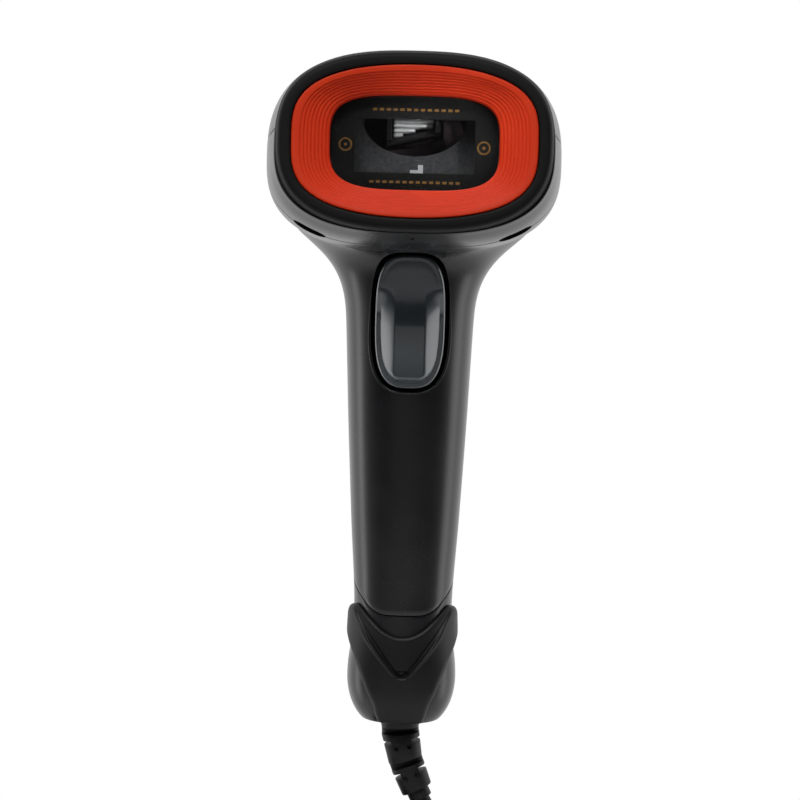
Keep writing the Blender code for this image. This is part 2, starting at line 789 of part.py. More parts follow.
def trigger_spring():
    """A helix from the trigger's back to the board, with its axis along the handle's Y."""
    start, end, radius, turns, height = TRIGGER_BACK + 0.7 * MM, BOARD_FRONT - 0.7 * MM, 2.4, 5, 42.5
    count = turns * 9
    route = []
    for i in range(count + 1):
        angle = 2 * math.pi * i / 9
        y = (start + (end - start) * i / count) / MM
        route.append((radius * math.cos(angle), y, height + radius * math.sin(angle)))
    made = tube("trigger_spring", STEEL, route, [0.3] * len(route), bevel_resolution=1)
    made.matrix_world = HANDLE


# Electronics in the handle


def in_handle(name, mesh, finish):
    made = add(name, mesh, finish)
    made.matrix_world = HANDLE
    return made


def handle_electronics():
    front, back = BOARD_FRONT / MM, (BOARD_FRONT + BOARD_THICKNESS) / MM
    board = in_handle("main_board", block_mm((-7.8, front, -40), (7.8, back, 50)), BOARD_GREEN)
    for name, height in CASE_SCREWS.items():
        z = height / MM
        cut(board, rod_mm((0, front - 3, z), (0, back + 3, z), 3.3, 20), f"{name}_clearance", HANDLE)
        screw = screw_mesh((0, 13.1, z), (0, -1, 0), 2.1, 1.5, 1.2, 14)
        in_handle(name, screw, STEEL)
    seat = front - GAP / MM
    case = block_mm((-2.9, seat - 6.5, 20.6), (2.9, seat, 33.4), 0.3)
    switch = in_handle("microswitch", case, MATTE_BLACK)
    cut(switch, block_mm((-0.9, seat - 8, 28.2), (0.9, seat - 4.6, 31.8)), "plunger_well", HANDLE)
    in_handle("switch_plunger", block_mm((-0.6, -3.4, 28.5), (0.6, seat - 5.6, 31.5), 0.15), WHITE)
    in_handle("decoder_chip", block_mm((-5, seat - 1.2, -8), (5, seat, 6), 0.2), MATTE_BLACK)
    in_handle("ribbon_connector", block_mm((-6, seat - 2.4, 46.4), (6, seat, 49.6), 0.2), WHITE)
    in_handle("status_led", block_mm((-1.6, front, 50.3), (1.6, back, 51.8), 0.2), WHITE)
    in_handle("status_light_pipe", indicator_shape(0, 52.2, indicator_top()), LENS)


def indicator_top():
    """Height in the handle's frame at which the light pipe is flush with the top of the housing."""
    y = 6.0
    inverse = HANDLE.inverted()
    for s in steps(20 * MM, 60 * MM, 400):
        place = inverse @ skin(s, math.pi)
        if place.y / MM >= y:
            return place.z / MM
    return 85.0


def indicator_shape(grow, low, high):
    """The light pipe's stem: an oval rod that stands on the board's top edge."""
    bm = bmesh.new()
    rings = []
    for z in (low, high):
        ring = []
        for i in range(20):
            angle = 2 * math.pi * i / 20
            x, y = (2.6 + grow) * math.cos(angle), 6.0 + (1.3 + grow) * math.sin(angle)
            ring.append(bm.verts.new((x * MM, y * MM, z * MM)))
        rings.append(ring)
    bridge_rings(bm, rings)
    for ring in rings:
        bm.faces.new(ring)
    return finished(bm)


def ribbon():
    """The flat flexible lead between the engine board and the main board, as one bent strip."""
    route = smooth_route(
        ((-21.2, 63.4), (-16.5, 63.1), (-11.2, 60.2), (-7.9, 56.0), (-6.3, 52.4), (-5.7, 49.8)), 3
    )
    half_width, half_thickness = 4.6, 0.15
    bm = bmesh.new()
    rings = []
    for i, place in enumerate(route):
        ahead = route[min(i + 1, len(route) - 1)] - route[max(i - 1, 0)]
        side = Vector((-ahead.y, ahead.x)).normalized() * half_thickness
        corners = ((-1, -1), (1, -1), (1, 1), (-1, 1))
        ring = [
            bm.verts.new((x * half_width * MM, (place.x + k * side.x) * MM, (place.y + k * side.y) * MM))
            for x, k in corners
        ]
        rings.append(ring)
    bridge_rings(bm, rings)
    bm.faces.new(rings[0])
    bm.faces.new(rings[-1])
    add("ribbon_cable", finished(bm), AMBER)


# Scan engine


def engine(frame_back):
    floor = DECK_Z / MM
    w, front, back, wall = (v / MM for v in (CHASSIS_HALF_WIDTH, CHASSIS_FRONT, CHASSIS_BACK, CHASSIS_WALL))
    pivot_y = MIRROR_PIVOT_Y / MM
    tab_front = frame_back / MM + GAP / MM
    chassis = add("engine_chassis", block_mm((-w, front, floor), (w, back, floor + 22)), DIE_CAST)
    inside = block_mm((-w + wall, front - 1, floor + wall), (w - wall, back - wall, floor + 30))
    cut(chassis, inside, "inside")
    for side in (-1, 1):
        low, high = sorted((side * (w - 1), side * 26.6))
        join(chassis, block_mm((low, tab_front, 73.5), (high, tab_front + 1.4, 79.5)), f"tab_{side}")
        hole = rod_mm((side * 24, tab_front - 2, 76.5), (side * 24, tab_front + 3, 76.5), 1.3, 16)
        cut(chassis, hole, f"tab_hole_{side}")
        label = "left" if side < 0 else "right"
        screw = screw_mesh((side * 24, tab_front + 3.1, 76.5), (0, -1, 0), 2.0, 1.4, 1.0, 6.4)
        add(f"engine_screw_{label}", screw, STEEL)

    # The bowl-shaped notch in this plate frames what can be seen of the optics
    aperture = add(
        "aperture_plate",
        block_mm((-w + wall + 0.3, -47.2, floor + wall + 0.3), (w - wall - 0.3, -46, floor + 21.8)),
        DIE_CAST,
    )
    cut(aperture, plate_mesh(-50 * MM, -43 * MM, 11.6 * MM, 7.9 * MM, 2.0, 82.8 * MM, 40), "notch")
    diode = add("photodiode", block_mm((-0.9, -49.4, 70.4), (1.1, -47.5, 71.7)), WHITE)
    join(diode, block_mm((0.9, -49.0, 70.4), (2.0, -47.5, 72.9)), "lead_frame")

    # Drive coil, on a bobbin whose lower flange slopes
    slope = ((-6.1, 78.9), (5.6, 81.7))
    add("drive_coil", sloped_block((-4.9, 4.4), (-40.2, -35.8), slope, 0.5, 87.2), WINDING)
    bobbin = add("coil_bobbin", block_mm((-6.3, -45.7, 78.6), (-5.2, -35.4, 88.2)), MATTE_BLACK)
    join(bobbin, block_mm((4.7, -45.7, 80.6), (5.8, -35.4, 88.2)), "right_cheek")
    join(bobbin, block_mm((-6.2, -42.6, 87.5), (5.7, -35.4, 88.2)), "top_flange")
    join(bobbin, sloped_block((-6.2, 5.7), (-40.8, -35.4), slope, -0.9, thickness=1.1), "low_flange")

    # Oscillating mirror on its pin
    pin_bottom, pin_top = floor + wall + GAP / MM, 91.5
    add("mirror_pin", rod_mm((0, pivot_y, pin_bottom), (0, pivot_y, pin_top), 0.75, 16), STEEL)
    holder = add("mirror_holder", rod_mm((0, pivot_y, 68), (0, pivot_y, 90.5), 2.1, 20), MATTE_BLACK)
    join(holder, block_mm((-8, pivot_y - 3.0, 75), (8, pivot_y - 1.6, 87.5)), "plate")
    join(holder, block_mm((-2.2, pivot_y + 1.2, 78), (2.2, pivot_y + 2.3, 84)), "magnet_seat")
    cut(holder, rod_mm((0, pivot_y, 60), (0, pivot_y, 95), 1.0, 16), "bore")
    add("mirror_magnet", block_mm((-2, pivot_y + 2.6, 78.4), (2, pivot_y + 4.4, 83.6), 0.2), STEEL)
    mirror_dish(pivot_y - 3.3)

    board_top = floor - GAP / MM
    board = block_mm((-20, front + 1, board_top - 1.4), (20, back - 0.6, board_top))
    add("engine_board", board, BOARD_GREEN)
    add("beeper", rod_mm((0, -44, 56.9), (0, -44, board_top - 1.7), 5.2, 28), MATTE_BLACK)
    aim = Vector((-16, 12, 2)).normalized()
    laser_end = Vector((14.2, -40.5, 73.5))
    add("laser_module", rod_mm(laser_end - aim * 4.0, laser_end, 2.2, 24), BRASS)
    add("laser_lens", rod_mm(laser_end + aim * 0.3, laser_end + aim * 1.3, 1.6, 24), LENS)


def sloped_block(x_range, y_range, slope, low_offset, top=None, thickness=None):
    """A block whose underside follows the line slope, ((x, z), (x, z)), shifted by low_offset. Its top is
    flat at top, or, with thickness, parallel to the underside."""
    (x0, z0), (x1, z1) = slope
    bm = bmesh.new()
    bmesh.ops.create_cube(bm, size=1)
    for vert in bm.verts:
        x = x_range[0] if vert.co.x < 0 else x_range[1]
        y = y_range[0] if vert.co.y < 0 else y_range[1]
        low = z0 + (z1 - z0) * (x - x0) / (x1 - x0) + low_offset
        high = top if thickness is None else low + thickness
        vert.co = Vector((x, y, low if vert.co.z < 0 else high)) * MM
    return finished(bm)


def mirror_dish(back):
    """The concave collecting mirror: an oval dish, deeper in its middle."""
    bm = bmesh.new()
    rings = []
    middle_z = 81 * MM
    profile = ((1.0, 0), (1.0, -2.4), (0.93, -2.4), (0.7, -1.7), (0.35, -1.2))
    for share, behind in profile:
        y = back + behind
        ring = []
        for i in range(32):
            x, z = outline_point(12.2 * MM, 8.4 * MM, 2, 2, 2 * math.pi * i / 32)
            ring.append(bm.verts.new((x * share, y * MM, middle_z + z * share)))
        rings.append(ring)
    bridge_rings(bm, rings)
    bm.faces.new(rings[0])
    bm.faces.new(rings[-1])
    add("collector_mirror", finished(bm), MIRROR)


# Lead


def lead():
    plug_top, plug_low = -26.5, -47.6
    jack = in_handle("cable_jack", block_mm((-7.4, -6, -43), (7.4, 4.9, -23), 0.3), MATTE_BLACK)
    cut(jack, block_mm((-6.2, -3.65, -50), (6.2, 3.65, plug_top + 0.4)), "plug_well", HANDLE)
    cut(jack, block_mm((-2.5, -4.95, -50), (2.5, -3, plug_top - 4)), "latch_keyway", HANDLE)
    plug = in_handle("cable_plug", block_mm((-5.8, -3.25, plug_low), (5.8, 3.25, plug_top)), LENS)
    cut(plug, block_mm((-2.6, -4.5, plug_low - 1), (2.6, -2.2, plug_top - 9)), "latch_slot", HANDLE)
    join(plug, latch_shape(plug_top, plug_low), "latch", HANDLE)
    tube("strain_relief", MATTE_BLACK, RELIEF_ROUTE, RELIEF_RADII)
    route = smooth_route(LEAD_ROUTE, 2)
    tube("cable_lead", CABLE_BLACK, route, [CABLE_RADIUS / MM] * len(route), 2)
    cable_coil()
    cable_tie()
    route = smooth_route(END_ROUTE, 2)
    tube("cable_end", CABLE_BLACK, route, [CABLE_RADIUS / MM] * len(route), 2)
    usb_plug()


def latch_shape(top, low):
    """The plug's springy latch: a thin tongue that leaves the plug near its nose and slopes outward."""
    bm = bmesh.new()
    bmesh.ops.create_cube(bm, size=1)
    for vert in bm.verts:
        up = vert.co.z > 0
        z = top - 8.4 if up else low + 2.5
        outer, inner = (-3.2, -2.0) if up else (-4.35, -3.35)
        y = outer if vert.co.y < 0 else inner
        vert.co = Vector((1.9 if vert.co.x > 0 else -1.9, y, z)) * MM
    return finished(bm)


def cable_coil():
    """The wound lead's outer shape: a turned ring with rounded edges, square to Y."""
    inner, outer = COIL_RADII
    half, edge = COIL_HALF_WIDTH, 2 * MM
    profile = (
        (outer - edge, -half),
        (outer, -half + edge),
        (outer, half - edge),
        (outer - edge, half),
        (inner + edge, half),
        (inner, half - edge),
        (inner, -half + edge),
        (inner + edge, -half),
    )
    sides = 40
    bm = bmesh.new()
    rings = []
    for i in range(sides):
        angle = 2 * math.pi * i / sides
        rings.append(
            [
                bm.verts.new(COIL_CENTRE + Vector((r * math.sin(angle), y, r * math.cos(angle))))
                for r, y in profile
            ]
        )
    bridge_rings(bm, rings, closed=True)
    add("cable_coil", finished(bm), CABLE_BLACK)


def cable_tie():
    """A soft strap round the bundle, at the top left of the coil."""
    direction = math.radians(-28)
    out = Vector((math.sin(direction), 0, math.cos(direction)))
    side = Vector((math.cos(direction), 0, -math.sin(direction)))
    low, high = COIL_RADII[0] - 4 * GAP, COIL_RADII[1] + 2 * GAP
    half, thickness, half_length = COIL_HALF_WIDTH + 2 * GAP, 1.2 * MM, 4 * MM
    bm = bmesh.new()
    rings = []
    low_end, high_end = -half_length, half_length
    corners = ((low_end, 0), (low_end, thickness), (high_end, thickness), (high_end, 0))
    for along, grow in corners:
        ring = []
        middle = (low + high) / 2
        for i in range(36):
            angle = 2 * math.pi * i / 36
            y, r = outline_point(half + grow, (high - low) / 2 + grow, 7, 7, angle)
            ring.append(bm.verts.new(COIL_CENTRE + out * (middle + r) + side * along + Vector((0, y, 0))))
        rings.append(ring)
    bridge_rings(bm, rings, closed=True)
    add("cable_tie", finished(bm), FOAM)


def usb_plug():
    x, y = PLUG_X / MM, PLUG_Y / MM
    top, low = -122.0, -146.0
    body = add("usb_body", block_mm((x - 7.6, y - 3.8, low), (x + 7.6, y + 3.8, top - 5), 1.0), CABLE_BLACK)
    neck = rod_mm((x, y, top), (x, y, top - 7), 3.3, 20)
    join(body, neck, "neck")
    shell_top, shell_low = low - GAP / MM, low - 12.2
    case = add("usb_shell", block_mm((x - 6, y - 2.25, shell_low), (x + 6, y + 2.25, shell_top)), STEEL)
    inside = block_mm((x - 5.65, y - 1.9, shell_low - 1), (x + 5.65, y + 1.9, shell_top - 0.6))
    cut(case, inside, "inside")
    tongue = block_mm((x - 5.3, y - 0.1, shell_low + 0.8), (x + 5.3, y + 1.6, shell_top - 0.9))
    add("usb_tongue", tongue, WHITE)


rear_housing()
chin_shell()
grip_front()
tail_cup()
tail_cap()
nose_bumper()
trim_ring()
engine(window_parts())
trigger()
trigger_spring()
handle_electronics()
ribbon()
lead()
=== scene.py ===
"""Looks of the hand-held bar code scanner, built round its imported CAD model.

Metres, +Z up, in the CAD model's own frame: the scan window faces -Y and the origin is the middle of the
grip. The housing is the same lofted body as the CAD model's, drawn more finely: a place on its skin is a
distance along the spine and a turn round it, from 0 at the front of the handle and the underside of the
head to 180 degrees at the back and the top.
"""

import json
import math
from bisect import bisect_right

import bmesh
import bpy
from mathutils import Matrix, Vector
from mathutils.bvhtree import BVHTree


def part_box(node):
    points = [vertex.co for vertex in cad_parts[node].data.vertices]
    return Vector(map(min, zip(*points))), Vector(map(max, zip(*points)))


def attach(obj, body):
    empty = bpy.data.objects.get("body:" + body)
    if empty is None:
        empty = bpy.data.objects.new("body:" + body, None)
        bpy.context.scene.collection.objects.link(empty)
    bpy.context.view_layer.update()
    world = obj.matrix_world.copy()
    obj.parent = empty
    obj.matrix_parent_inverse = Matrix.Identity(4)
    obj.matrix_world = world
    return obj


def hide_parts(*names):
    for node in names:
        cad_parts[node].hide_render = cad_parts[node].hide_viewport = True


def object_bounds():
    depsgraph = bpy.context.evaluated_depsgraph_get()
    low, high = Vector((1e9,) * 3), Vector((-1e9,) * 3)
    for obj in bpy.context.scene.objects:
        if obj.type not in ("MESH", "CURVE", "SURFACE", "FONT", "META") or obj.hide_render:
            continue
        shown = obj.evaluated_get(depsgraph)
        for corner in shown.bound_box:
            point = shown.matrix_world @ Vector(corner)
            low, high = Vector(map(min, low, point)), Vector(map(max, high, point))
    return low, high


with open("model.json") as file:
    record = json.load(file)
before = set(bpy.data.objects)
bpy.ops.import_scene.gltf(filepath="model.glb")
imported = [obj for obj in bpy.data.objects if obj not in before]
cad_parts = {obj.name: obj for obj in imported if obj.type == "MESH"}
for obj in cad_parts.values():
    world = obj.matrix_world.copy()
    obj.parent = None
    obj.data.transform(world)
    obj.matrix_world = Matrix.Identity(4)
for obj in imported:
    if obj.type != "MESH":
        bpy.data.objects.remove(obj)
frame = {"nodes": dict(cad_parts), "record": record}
CAD_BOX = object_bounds()

MM = 0.001
GAP = 0.3 * MM
WALL = 2 * MM
SEAM_HALF = 0.12 * MM  # half the width of a seam between two shells

# The body's driving dimensions, as in the CAD model
FACE_Y = -65 * MM
HEAD_Z = 77 * MM
LEAN = math.radians(10)
NECK_RADIUS = 29 * MM
HANDLE_LENGTH = 110.7 * MM
SEAM_DEGREES = 97
SEAM_TURN = math.radians(SEAM_DEGREES)
NECK_TURN = math.pi / 2 - LEAN
NECK_FOOT_Z = HEAD_Z - NECK_RADIUS * (1 - math.sin(LEAN))  # where the neck runs into the handle
NECK_START_Y = -math.tan(LEAN) * NECK_FOOT_Z - NECK_RADIUS * math.cos(LEAN)
NECK_START = NECK_START_Y - FACE_Y
NECK_END = NECK_START + NECK_RADIUS * NECK_TURN
SPINE_END = NECK_END + HANDLE_LENGTH

# Sections in millimetres: distance along the spine, half width, reach towards the front or the
# underside, reach towards the back or the top, squareness, and shift of the middle to the back
STATIONS = (
    (2.5, 30.8, 18.6, 21.3, 2.7, -1.2),
    (10, 32.3, 20.0, 23.2, 2.7, -2.3),
    (20, 33.3, 20.6, 24.0, 2.7, -2.6),
    (27, 33.6, 20.6, 24.0, 2.7, -2.6),
    (38, 32.9, 20.2, 23.7, 2.6, -2.2),
    (48, 30.8, 19.0, 22.3, 2.5, -1.6),
    (56, 28.0, 17.6, 20.6, 2.45, -1.0),
    (62, 23.8, 16.8, 19.0, 2.4, -0.5),
    (67.6, 19.3, 16.2, 17.4, 2.4, -0.2),
    (72, 16.8, 16.0, 16.6, 2.4, 0),
    (78, 15.4, 15.8, 16.3, 2.4, 0),
    (88, 14.9, 15.6, 16.0, 2.4, 0),
    (105, 14.2, 14.8, 15.2, 2.4, 0),
    (130, 12.95, 13.8, 14.0, 2.4, 0),
    (153, 11.75, 12.8, 13.0, 2.4, 0),
    (160, 12.2, 12.9, 13.3, 2.4, 0),
    (166, 13.1, 13.4, 13.6, 2.5, 0),
    (181, 13.2, 13.4, 13.6, 2.5, 0),
)
FOOT_ROUND_LENGTH = 10 * MM
FOOT_ROUND = (12 * MM, 7.5 * MM)
SMOOTHING = ((-4, 1), (-2, 4), (0, 6), (2, 4), (4, 1))  # offsets in millimetres and their weights

NOSE_SEAM = 3 * MM
CHIN_SEAM = 14.3 * MM
CHIN_SEAM_SIDE = 30 * MM
CHIN_FLAT_TURN = math.radians(62)
SLOT_TURN = math.radians(54)
COLLAR_SEAM = 144.4 * MM
COLLAR_DIP = (  # turn in degrees, distance along the spine in millimetres
    (0, 151.1), (15, 151.1), (22, 151.0), (28.5, 150.6), (38, 149.6),
    (48.5, 147.9), (60, 146.3), (80, 144.8), (97, 144.4),
)
CAP_TOP = (  # share of the cap's width, distance along the spine
    (0, 156.2), (0.06, 156.1), (0.12, 155.7), (0.18, 155.1), (0.23, 154.4),
    (0.32, 152.9), (0.43, 151.2), (0.51, 150.0), (0.58, 149.6), (0.68, 149.9),
    (0.8, 150.9), (0.9, 152.0), (1, 153.6),
)
CAP_EDGE = (  # distance along the spine, turn in degrees
    (153, 95), (154.5, 98), (156.2, 95), (157.8, 87), (159.3, 70),
    (161.8, 55), (165.5, 43.5), (169.5, 35), (173.2, 28.5), (177, 27),
)
CAP_FOOT = 176.9
# Half width of the cap's V-shaped step at a distance along the spine
CAP_V = ((150, 10.4), (153, 9.0), (156.8, 7.2), (161, 4.6), (163.8, 2.5), (165, 1.5), (165.8, 0.3))

BUMPER = (30.2 * MM, 19.45 * MM)
TRIM_OUTER = (27.3 * MM, 16.95 * MM)
TRIM_INNER = (18.8 * MM, 10.5 * MM)
TRIM_DEPTH = 5.8 * MM

TRIGGER_MIDDLE = 41.75 * MM
TRIGGER_HALF_WIDTH = 8.1 * MM
TRIGGER_HALF_HEIGHT = 15.8 * MM
TRIGGER_BACK = -11 * MM
TRIGGER_CLEARANCE = 1.1 * MM
PIVOT = Vector((0, -10 * MM, 53.5 * MM))
CASE_SCREWS = {"upper": 11 * MM, "lower": -14 * MM}

PINHOLE = 6.5  # millimetres along the spine, in the middle of the chin

CABLE_RADIUS = 2 * MM
COIL_CENTRE = Vector((-4.6 * MM, 12 * MM, -109.5 * MM))

HANDLE = Matrix.Rotation(LEAN, 4, "X")  # the handle's own frame: X across, Y to the back, Z up along it

CAMERA_PLACE = (-1.9 * MM, -765 * MM, 20 * MM)
CAMERA_ROLL = math.radians(-1.38)
LENS = 143.3  # focal length in millimetres, on a sensor 36 wide

# Soft boxes: place, width, height and power
LAMPS_AIM = (0, -0.03, 0.03)
LAMPS = {
    "key": ((-0.18, -0.95, 0.85), 0.6, 0.5, 10),
    "left_strip": ((-0.9, 0.2, 0.0), 0.26, 1.3, 1.9),
    "right_strip": ((0.9, 0.1, 0.0), 0.4, 1.3, 2.0),
    "low_fill": ((-0.12, -1.45, -0.4), 0.7, 0.25, 0.35),
}
ACCENT_PLACE, ACCENT_AIM = (0.3, -0.84, 0.045), (-0.001, -0.04, 0.0815)  # to the coil, past the window
TENT = ((0.0, 0.03), (0.2, 0.05), (0.42, 0.35), (0.56, 0.95), (1.0, 1.0))  # front to back: place and light

FLOOR_DROP = 4 * MM
FLOOR_RADIUS = 0.34
FLOOR_FADE = (0.12, 0.32)  # distances from the middle over which the floor fades out


# Camera, light and floor


def add_node(tree, kind, **values):
    """A shader node with values for its sockets, whose names have _ for a space."""
    node = tree.nodes.new(f"ShaderNode{kind}")
    for socket, value in values.items():
        node.inputs[socket.replace("_", " ")].default_value = value
    return node


def mix_shaders(tree, share, first, second):
    """A mix of the outputs of two shader nodes by a value."""
    mix = add_node(tree, "MixShader")
    for source, socket in ((share, 0), (first, 1), (second, 2)):
        tree.links.new(source, mix.inputs[socket])
    return mix.outputs["Shader"]


def add_object(name, data):
    made = bpy.data.objects.new(name, data)
    bpy.context.scene.collection.objects.link(made)
    return made


def set_camera():
    """A long lens level with the grip, far in front, rolled a little."""
    lens = bpy.data.cameras.new("camera")
    lens.sensor_width = 36
    lens.lens = LENS
    lens.clip_start = 0.01
    camera = add_object("camera", lens)
    roll = Matrix.Rotation(CAMERA_ROLL, 4, "Y")
    place = Matrix.Translation(CAMERA_PLACE)
    camera.matrix_world = place @ roll @ Matrix.Rotation(math.pi / 2, 4, "X")
    bpy.context.scene.camera = camera


def add_lamp(name, lamp, place, target):
    box = add_object(name, lamp)
    box.location = place
    box.visible_camera = False
    box.rotation_euler = (Vector(target) - Vector(place)).to_track_quat("-Z", "Y").to_euler()


def soft_box(name, place, width, height, power):
    lamp = bpy.data.lights.new(name, "AREA")
    lamp.shape = "RECTANGLE"
    lamp.size, lamp.size_y = width, height
    lamp.energy = power
    add_lamp(name, lamp, place, LAMPS_AIM)


def set_light():
    """A product tent: bright behind the object and at its sides, dark in front of it, and a large lamp
    above the front. The backdrop itself is plain white."""
    scene = bpy.context.scene
    scene.view_settings.view_transform = "Standard"
    world = bpy.data.worlds.new("studio")
    scene.world = world
    world.use_nodes = True
    tree = world.node_tree
    tree.nodes.clear()
    direction = add_node(tree, "TexCoord")
    parts = add_node(tree, "SeparateXYZ")
    ramp = add_node(tree, "ValToRGB")
    share = add_node(tree, "MapRange", From_Min=-1, From_Max=1)
    for position, _ in TENT[1:-1]:
        ramp.color_ramp.elements.new(position)
    for element, (position, level) in zip(ramp.color_ramp.elements, TENT):
        element.position = position
        element.color = (level, level, level, 1)
    room = add_node(tree, "Background")
    backdrop = add_node(tree, "Background", Color=(1, 1, 1, 1))
    path = add_node(tree, "LightPath")
    output = add_node(tree, "OutputWorld")
    link = tree.links.new
    link(direction.outputs["Generated"], parts.inputs["Vector"])
    link(parts.outputs["Y"], share.inputs["Value"])
    link(share.outputs["Result"], ramp.inputs["Fac"])
    link(ramp.outputs["Color"], room.inputs["Color"])
    shades = [node.outputs["Background"] for node in (room, backdrop)]
    link(mix_shaders(tree, path.outputs["Is Camera Ray"], *shades), output.inputs["Surface"])

    for name, lamp in LAMPS.items():
        soft_box(name, *lamp)
    accent = bpy.data.lights.new("accent", "SPOT")
    accent.energy = 16
    accent.spot_size = math.radians(1.5)
    accent.spot_blend = 0.5
    accent.shadow_soft_size = 0.01
    add_lamp("accent", accent, ACCENT_PLACE, ACCENT_AIM)


def set_floor():
    """A pale disc under the object that fades out at its edge."""
    bm = bmesh.new()
    bmesh.ops.create_circle(bm, cap_ends=True, segments=96, radius=FLOOR_RADIUS)
    mesh = bpy.data.meshes.new("floor")
    bm.to_mesh(mesh)
    bm.free()
    floor = add_object("floor", mesh)
    floor.location.z = CAD_BOX[0].z - FLOOR_DROP
    pale = bpy.data.materials.new("floor_pale")
    pale.use_nodes = True
    tree = pale.node_tree
    shader = tree.nodes["Principled BSDF"]
    shader.inputs["Base Color"].default_value = (0.86, 0.86, 0.86, 1)
    shader.inputs["Roughness"].default_value = 0.7
    place = add_node(tree, "TexCoord")
    length = add_node(tree, "VectorMath")
    length.operation = "LENGTH"
    fade = add_node(tree, "MapRange", From_Min=FLOOR_FADE[0], From_Max=FLOOR_FADE[1])
    fade.interpolation_type = "SMOOTHSTEP"
    tree.links.new(place.outputs["Object"], length.inputs[0])
    tree.links.new(length.outputs["Value"], fade.inputs["Value"])
    shades = [node.outputs["BSDF"] for node in (shader, add_node(tree, "BsdfTransparent"))]
    mixed = mix_shaders(tree, fade.outputs["Result"], *shades)
    tree.links.new(mixed, tree.nodes["Material Output"].inputs["Surface"])
    mesh.materials.append(pale)


# Materials


class Finish:
    """A node material with a Principled shader, and helpers that add texture to it."""

    def __init__(self, name, colour, roughness, **fixed):
        self.material = bpy.data.materials.new(name)
        self.material.use_nodes = True
        self.tree = self.material.node_tree
        self.shader = self.tree.nodes["Principled BSDF"]
        self.shader.inputs["Base Color"].default_value = (*colour, 1)
        self.shader.inputs["Roughness"].default_value = roughness
        for socket, value in fixed.items():
            self.shader.inputs[socket.replace("_", " ")].default_value = value
        self.place = add_node(self.tree, "TexCoord").outputs["Object"]

    def noise(self, scale, detail=3.0, stretch=(1, 1, 1)):
        source = self.place
        if stretch != (1, 1, 1):
            mapping = add_node(self.tree, "Mapping", Scale=stretch)
            self.tree.links.new(source, mapping.inputs["Vector"])
            source = mapping.outputs["Vector"]
        texture = add_node(self.tree, "TexNoise", Scale=scale, Detail=detail)
        self.tree.links.new(source, texture.inputs["Vector"])
        return texture.outputs["Fac"]

    def spread(self, value, low, high, socket):
        """Maps a noise value to a range on one of the shader's sockets."""
        span = add_node(self.tree, "MapRange", From_Min=0.3, From_Max=0.7, To_Min=low, To_Max=high)
        self.tree.links.new(value, span.inputs["Value"])
        self.tree.links.new(span.outputs["Result"], self.shader.inputs[socket])

    def tint(self, value, low, high):
        """Varies the colour between two tints by a noise value."""
        ramp = add_node(self.tree, "ValToRGB")
        ramp.color_ramp.elements[0].position = 0.35
        ramp.color_ramp.elements[1].position = 0.65
        ramp.color_ramp.elements[0].color = (*low, 1)
        ramp.color_ramp.elements[1].color = (*high, 1)
        self.tree.links.new(value, ramp.inputs["Fac"])
        self.tree.links.new(ramp.outputs["Color"], self.shader.inputs["Base Color"])

    def bump(self, value, depth):
        bump = add_node(self.tree, "Bump", Strength=1, Distance=depth)
        self.tree.links.new(value, bump.inputs["Height"])
        self.tree.links.new(bump.outputs["Normal"], self.shader.inputs["Normal"])


def moulded(name, low, high, roughness, grain_scale, grain_depth, shine=0.5):
    """Moulded plastic: a faint flow in its colour and gloss, and a fine grain."""
    finish = Finish(name, low, sum(roughness) / 2, Specular_IOR_Level=shine)
    finish.tint(finish.noise(90, 4), low, high)
    finish.spread(finish.noise(45, 5), *roughness, "Roughness")
    finish.bump(finish.noise(grain_scale, 2), grain_depth * MM)
    return finish.material


def metal(name, low, high, roughness, scale, stretch=(1, 1, 1)):
    finish = Finish(name, low, sum(roughness) / 2, Metallic=1.0)
    grain = finish.noise(scale, 4, stretch)
    finish.tint(grain, low, high)
    finish.spread(grain, *roughness, "Roughness")
    finish.bump(grain, 0.004 * MM)
    return finish.material


def clear_plastic(name, colour, roughness, shine=0.5):
    """Clear plastic or glass that lets lamps through, so that what is behind it is lit."""
    fixed = {"Transmission_Weight": 1.0, "IOR": 1.46, "Specular_IOR_Level": shine}
    finish = Finish(name, colour, roughness, **fixed)
    finish.spread(finish.noise(300, 3), roughness, roughness + 0.03, "Roughness")
    tree = finish.tree
    shades = [node.outputs["BSDF"] for node in (finish.shader, add_node(tree, "BsdfTransparent"))]
    mixed = mix_shaders(tree, add_node(tree, "LightPath").outputs["Is Shadow Ray"], *shades)
    tree.links.new(mixed, tree.nodes["Material Output"].inputs["Surface"])
    return finish.material


def circuit_board(name):
    """Green lacquer over copper tracks."""
    finish = Finish(name, (0.012, 0.09, 0.03), 0.35)
    bricks = add_node(finish.tree, "TexBrick", Scale=320, Mortar_Size=0.05, Mortar=(0.03, 0.19, 0.07, 1))
    bricks.inputs["Color1"].default_value = (0.01, 0.085, 0.03, 1)
    bricks.inputs["Color2"].default_value = (0.014, 0.11, 0.04, 1)
    finish.tree.links.new(finish.place, bricks.inputs["Vector"])
    finish.tree.links.new(bricks.outputs["Color"], finish.shader.inputs["Base Color"])
    finish.spread(finish.noise(400, 2), 0.28, 0.42, "Roughness")
    return finish.material


def woven_strap(name):
    """A hook-and-loop strap: short looped pile over a weave."""
    finish = Finish(name, (0.02, 0.02, 0.022), 0.95, Sheen_Weight=0.3, Sheen_Roughness=0.5)
    pile = finish.noise(2600, 5)
    finish.tint(pile, (0.01, 0.01, 0.011), (0.04, 0.04, 0.043))
    finish.bump(pile, 0.25 * MM)
    return finish.material


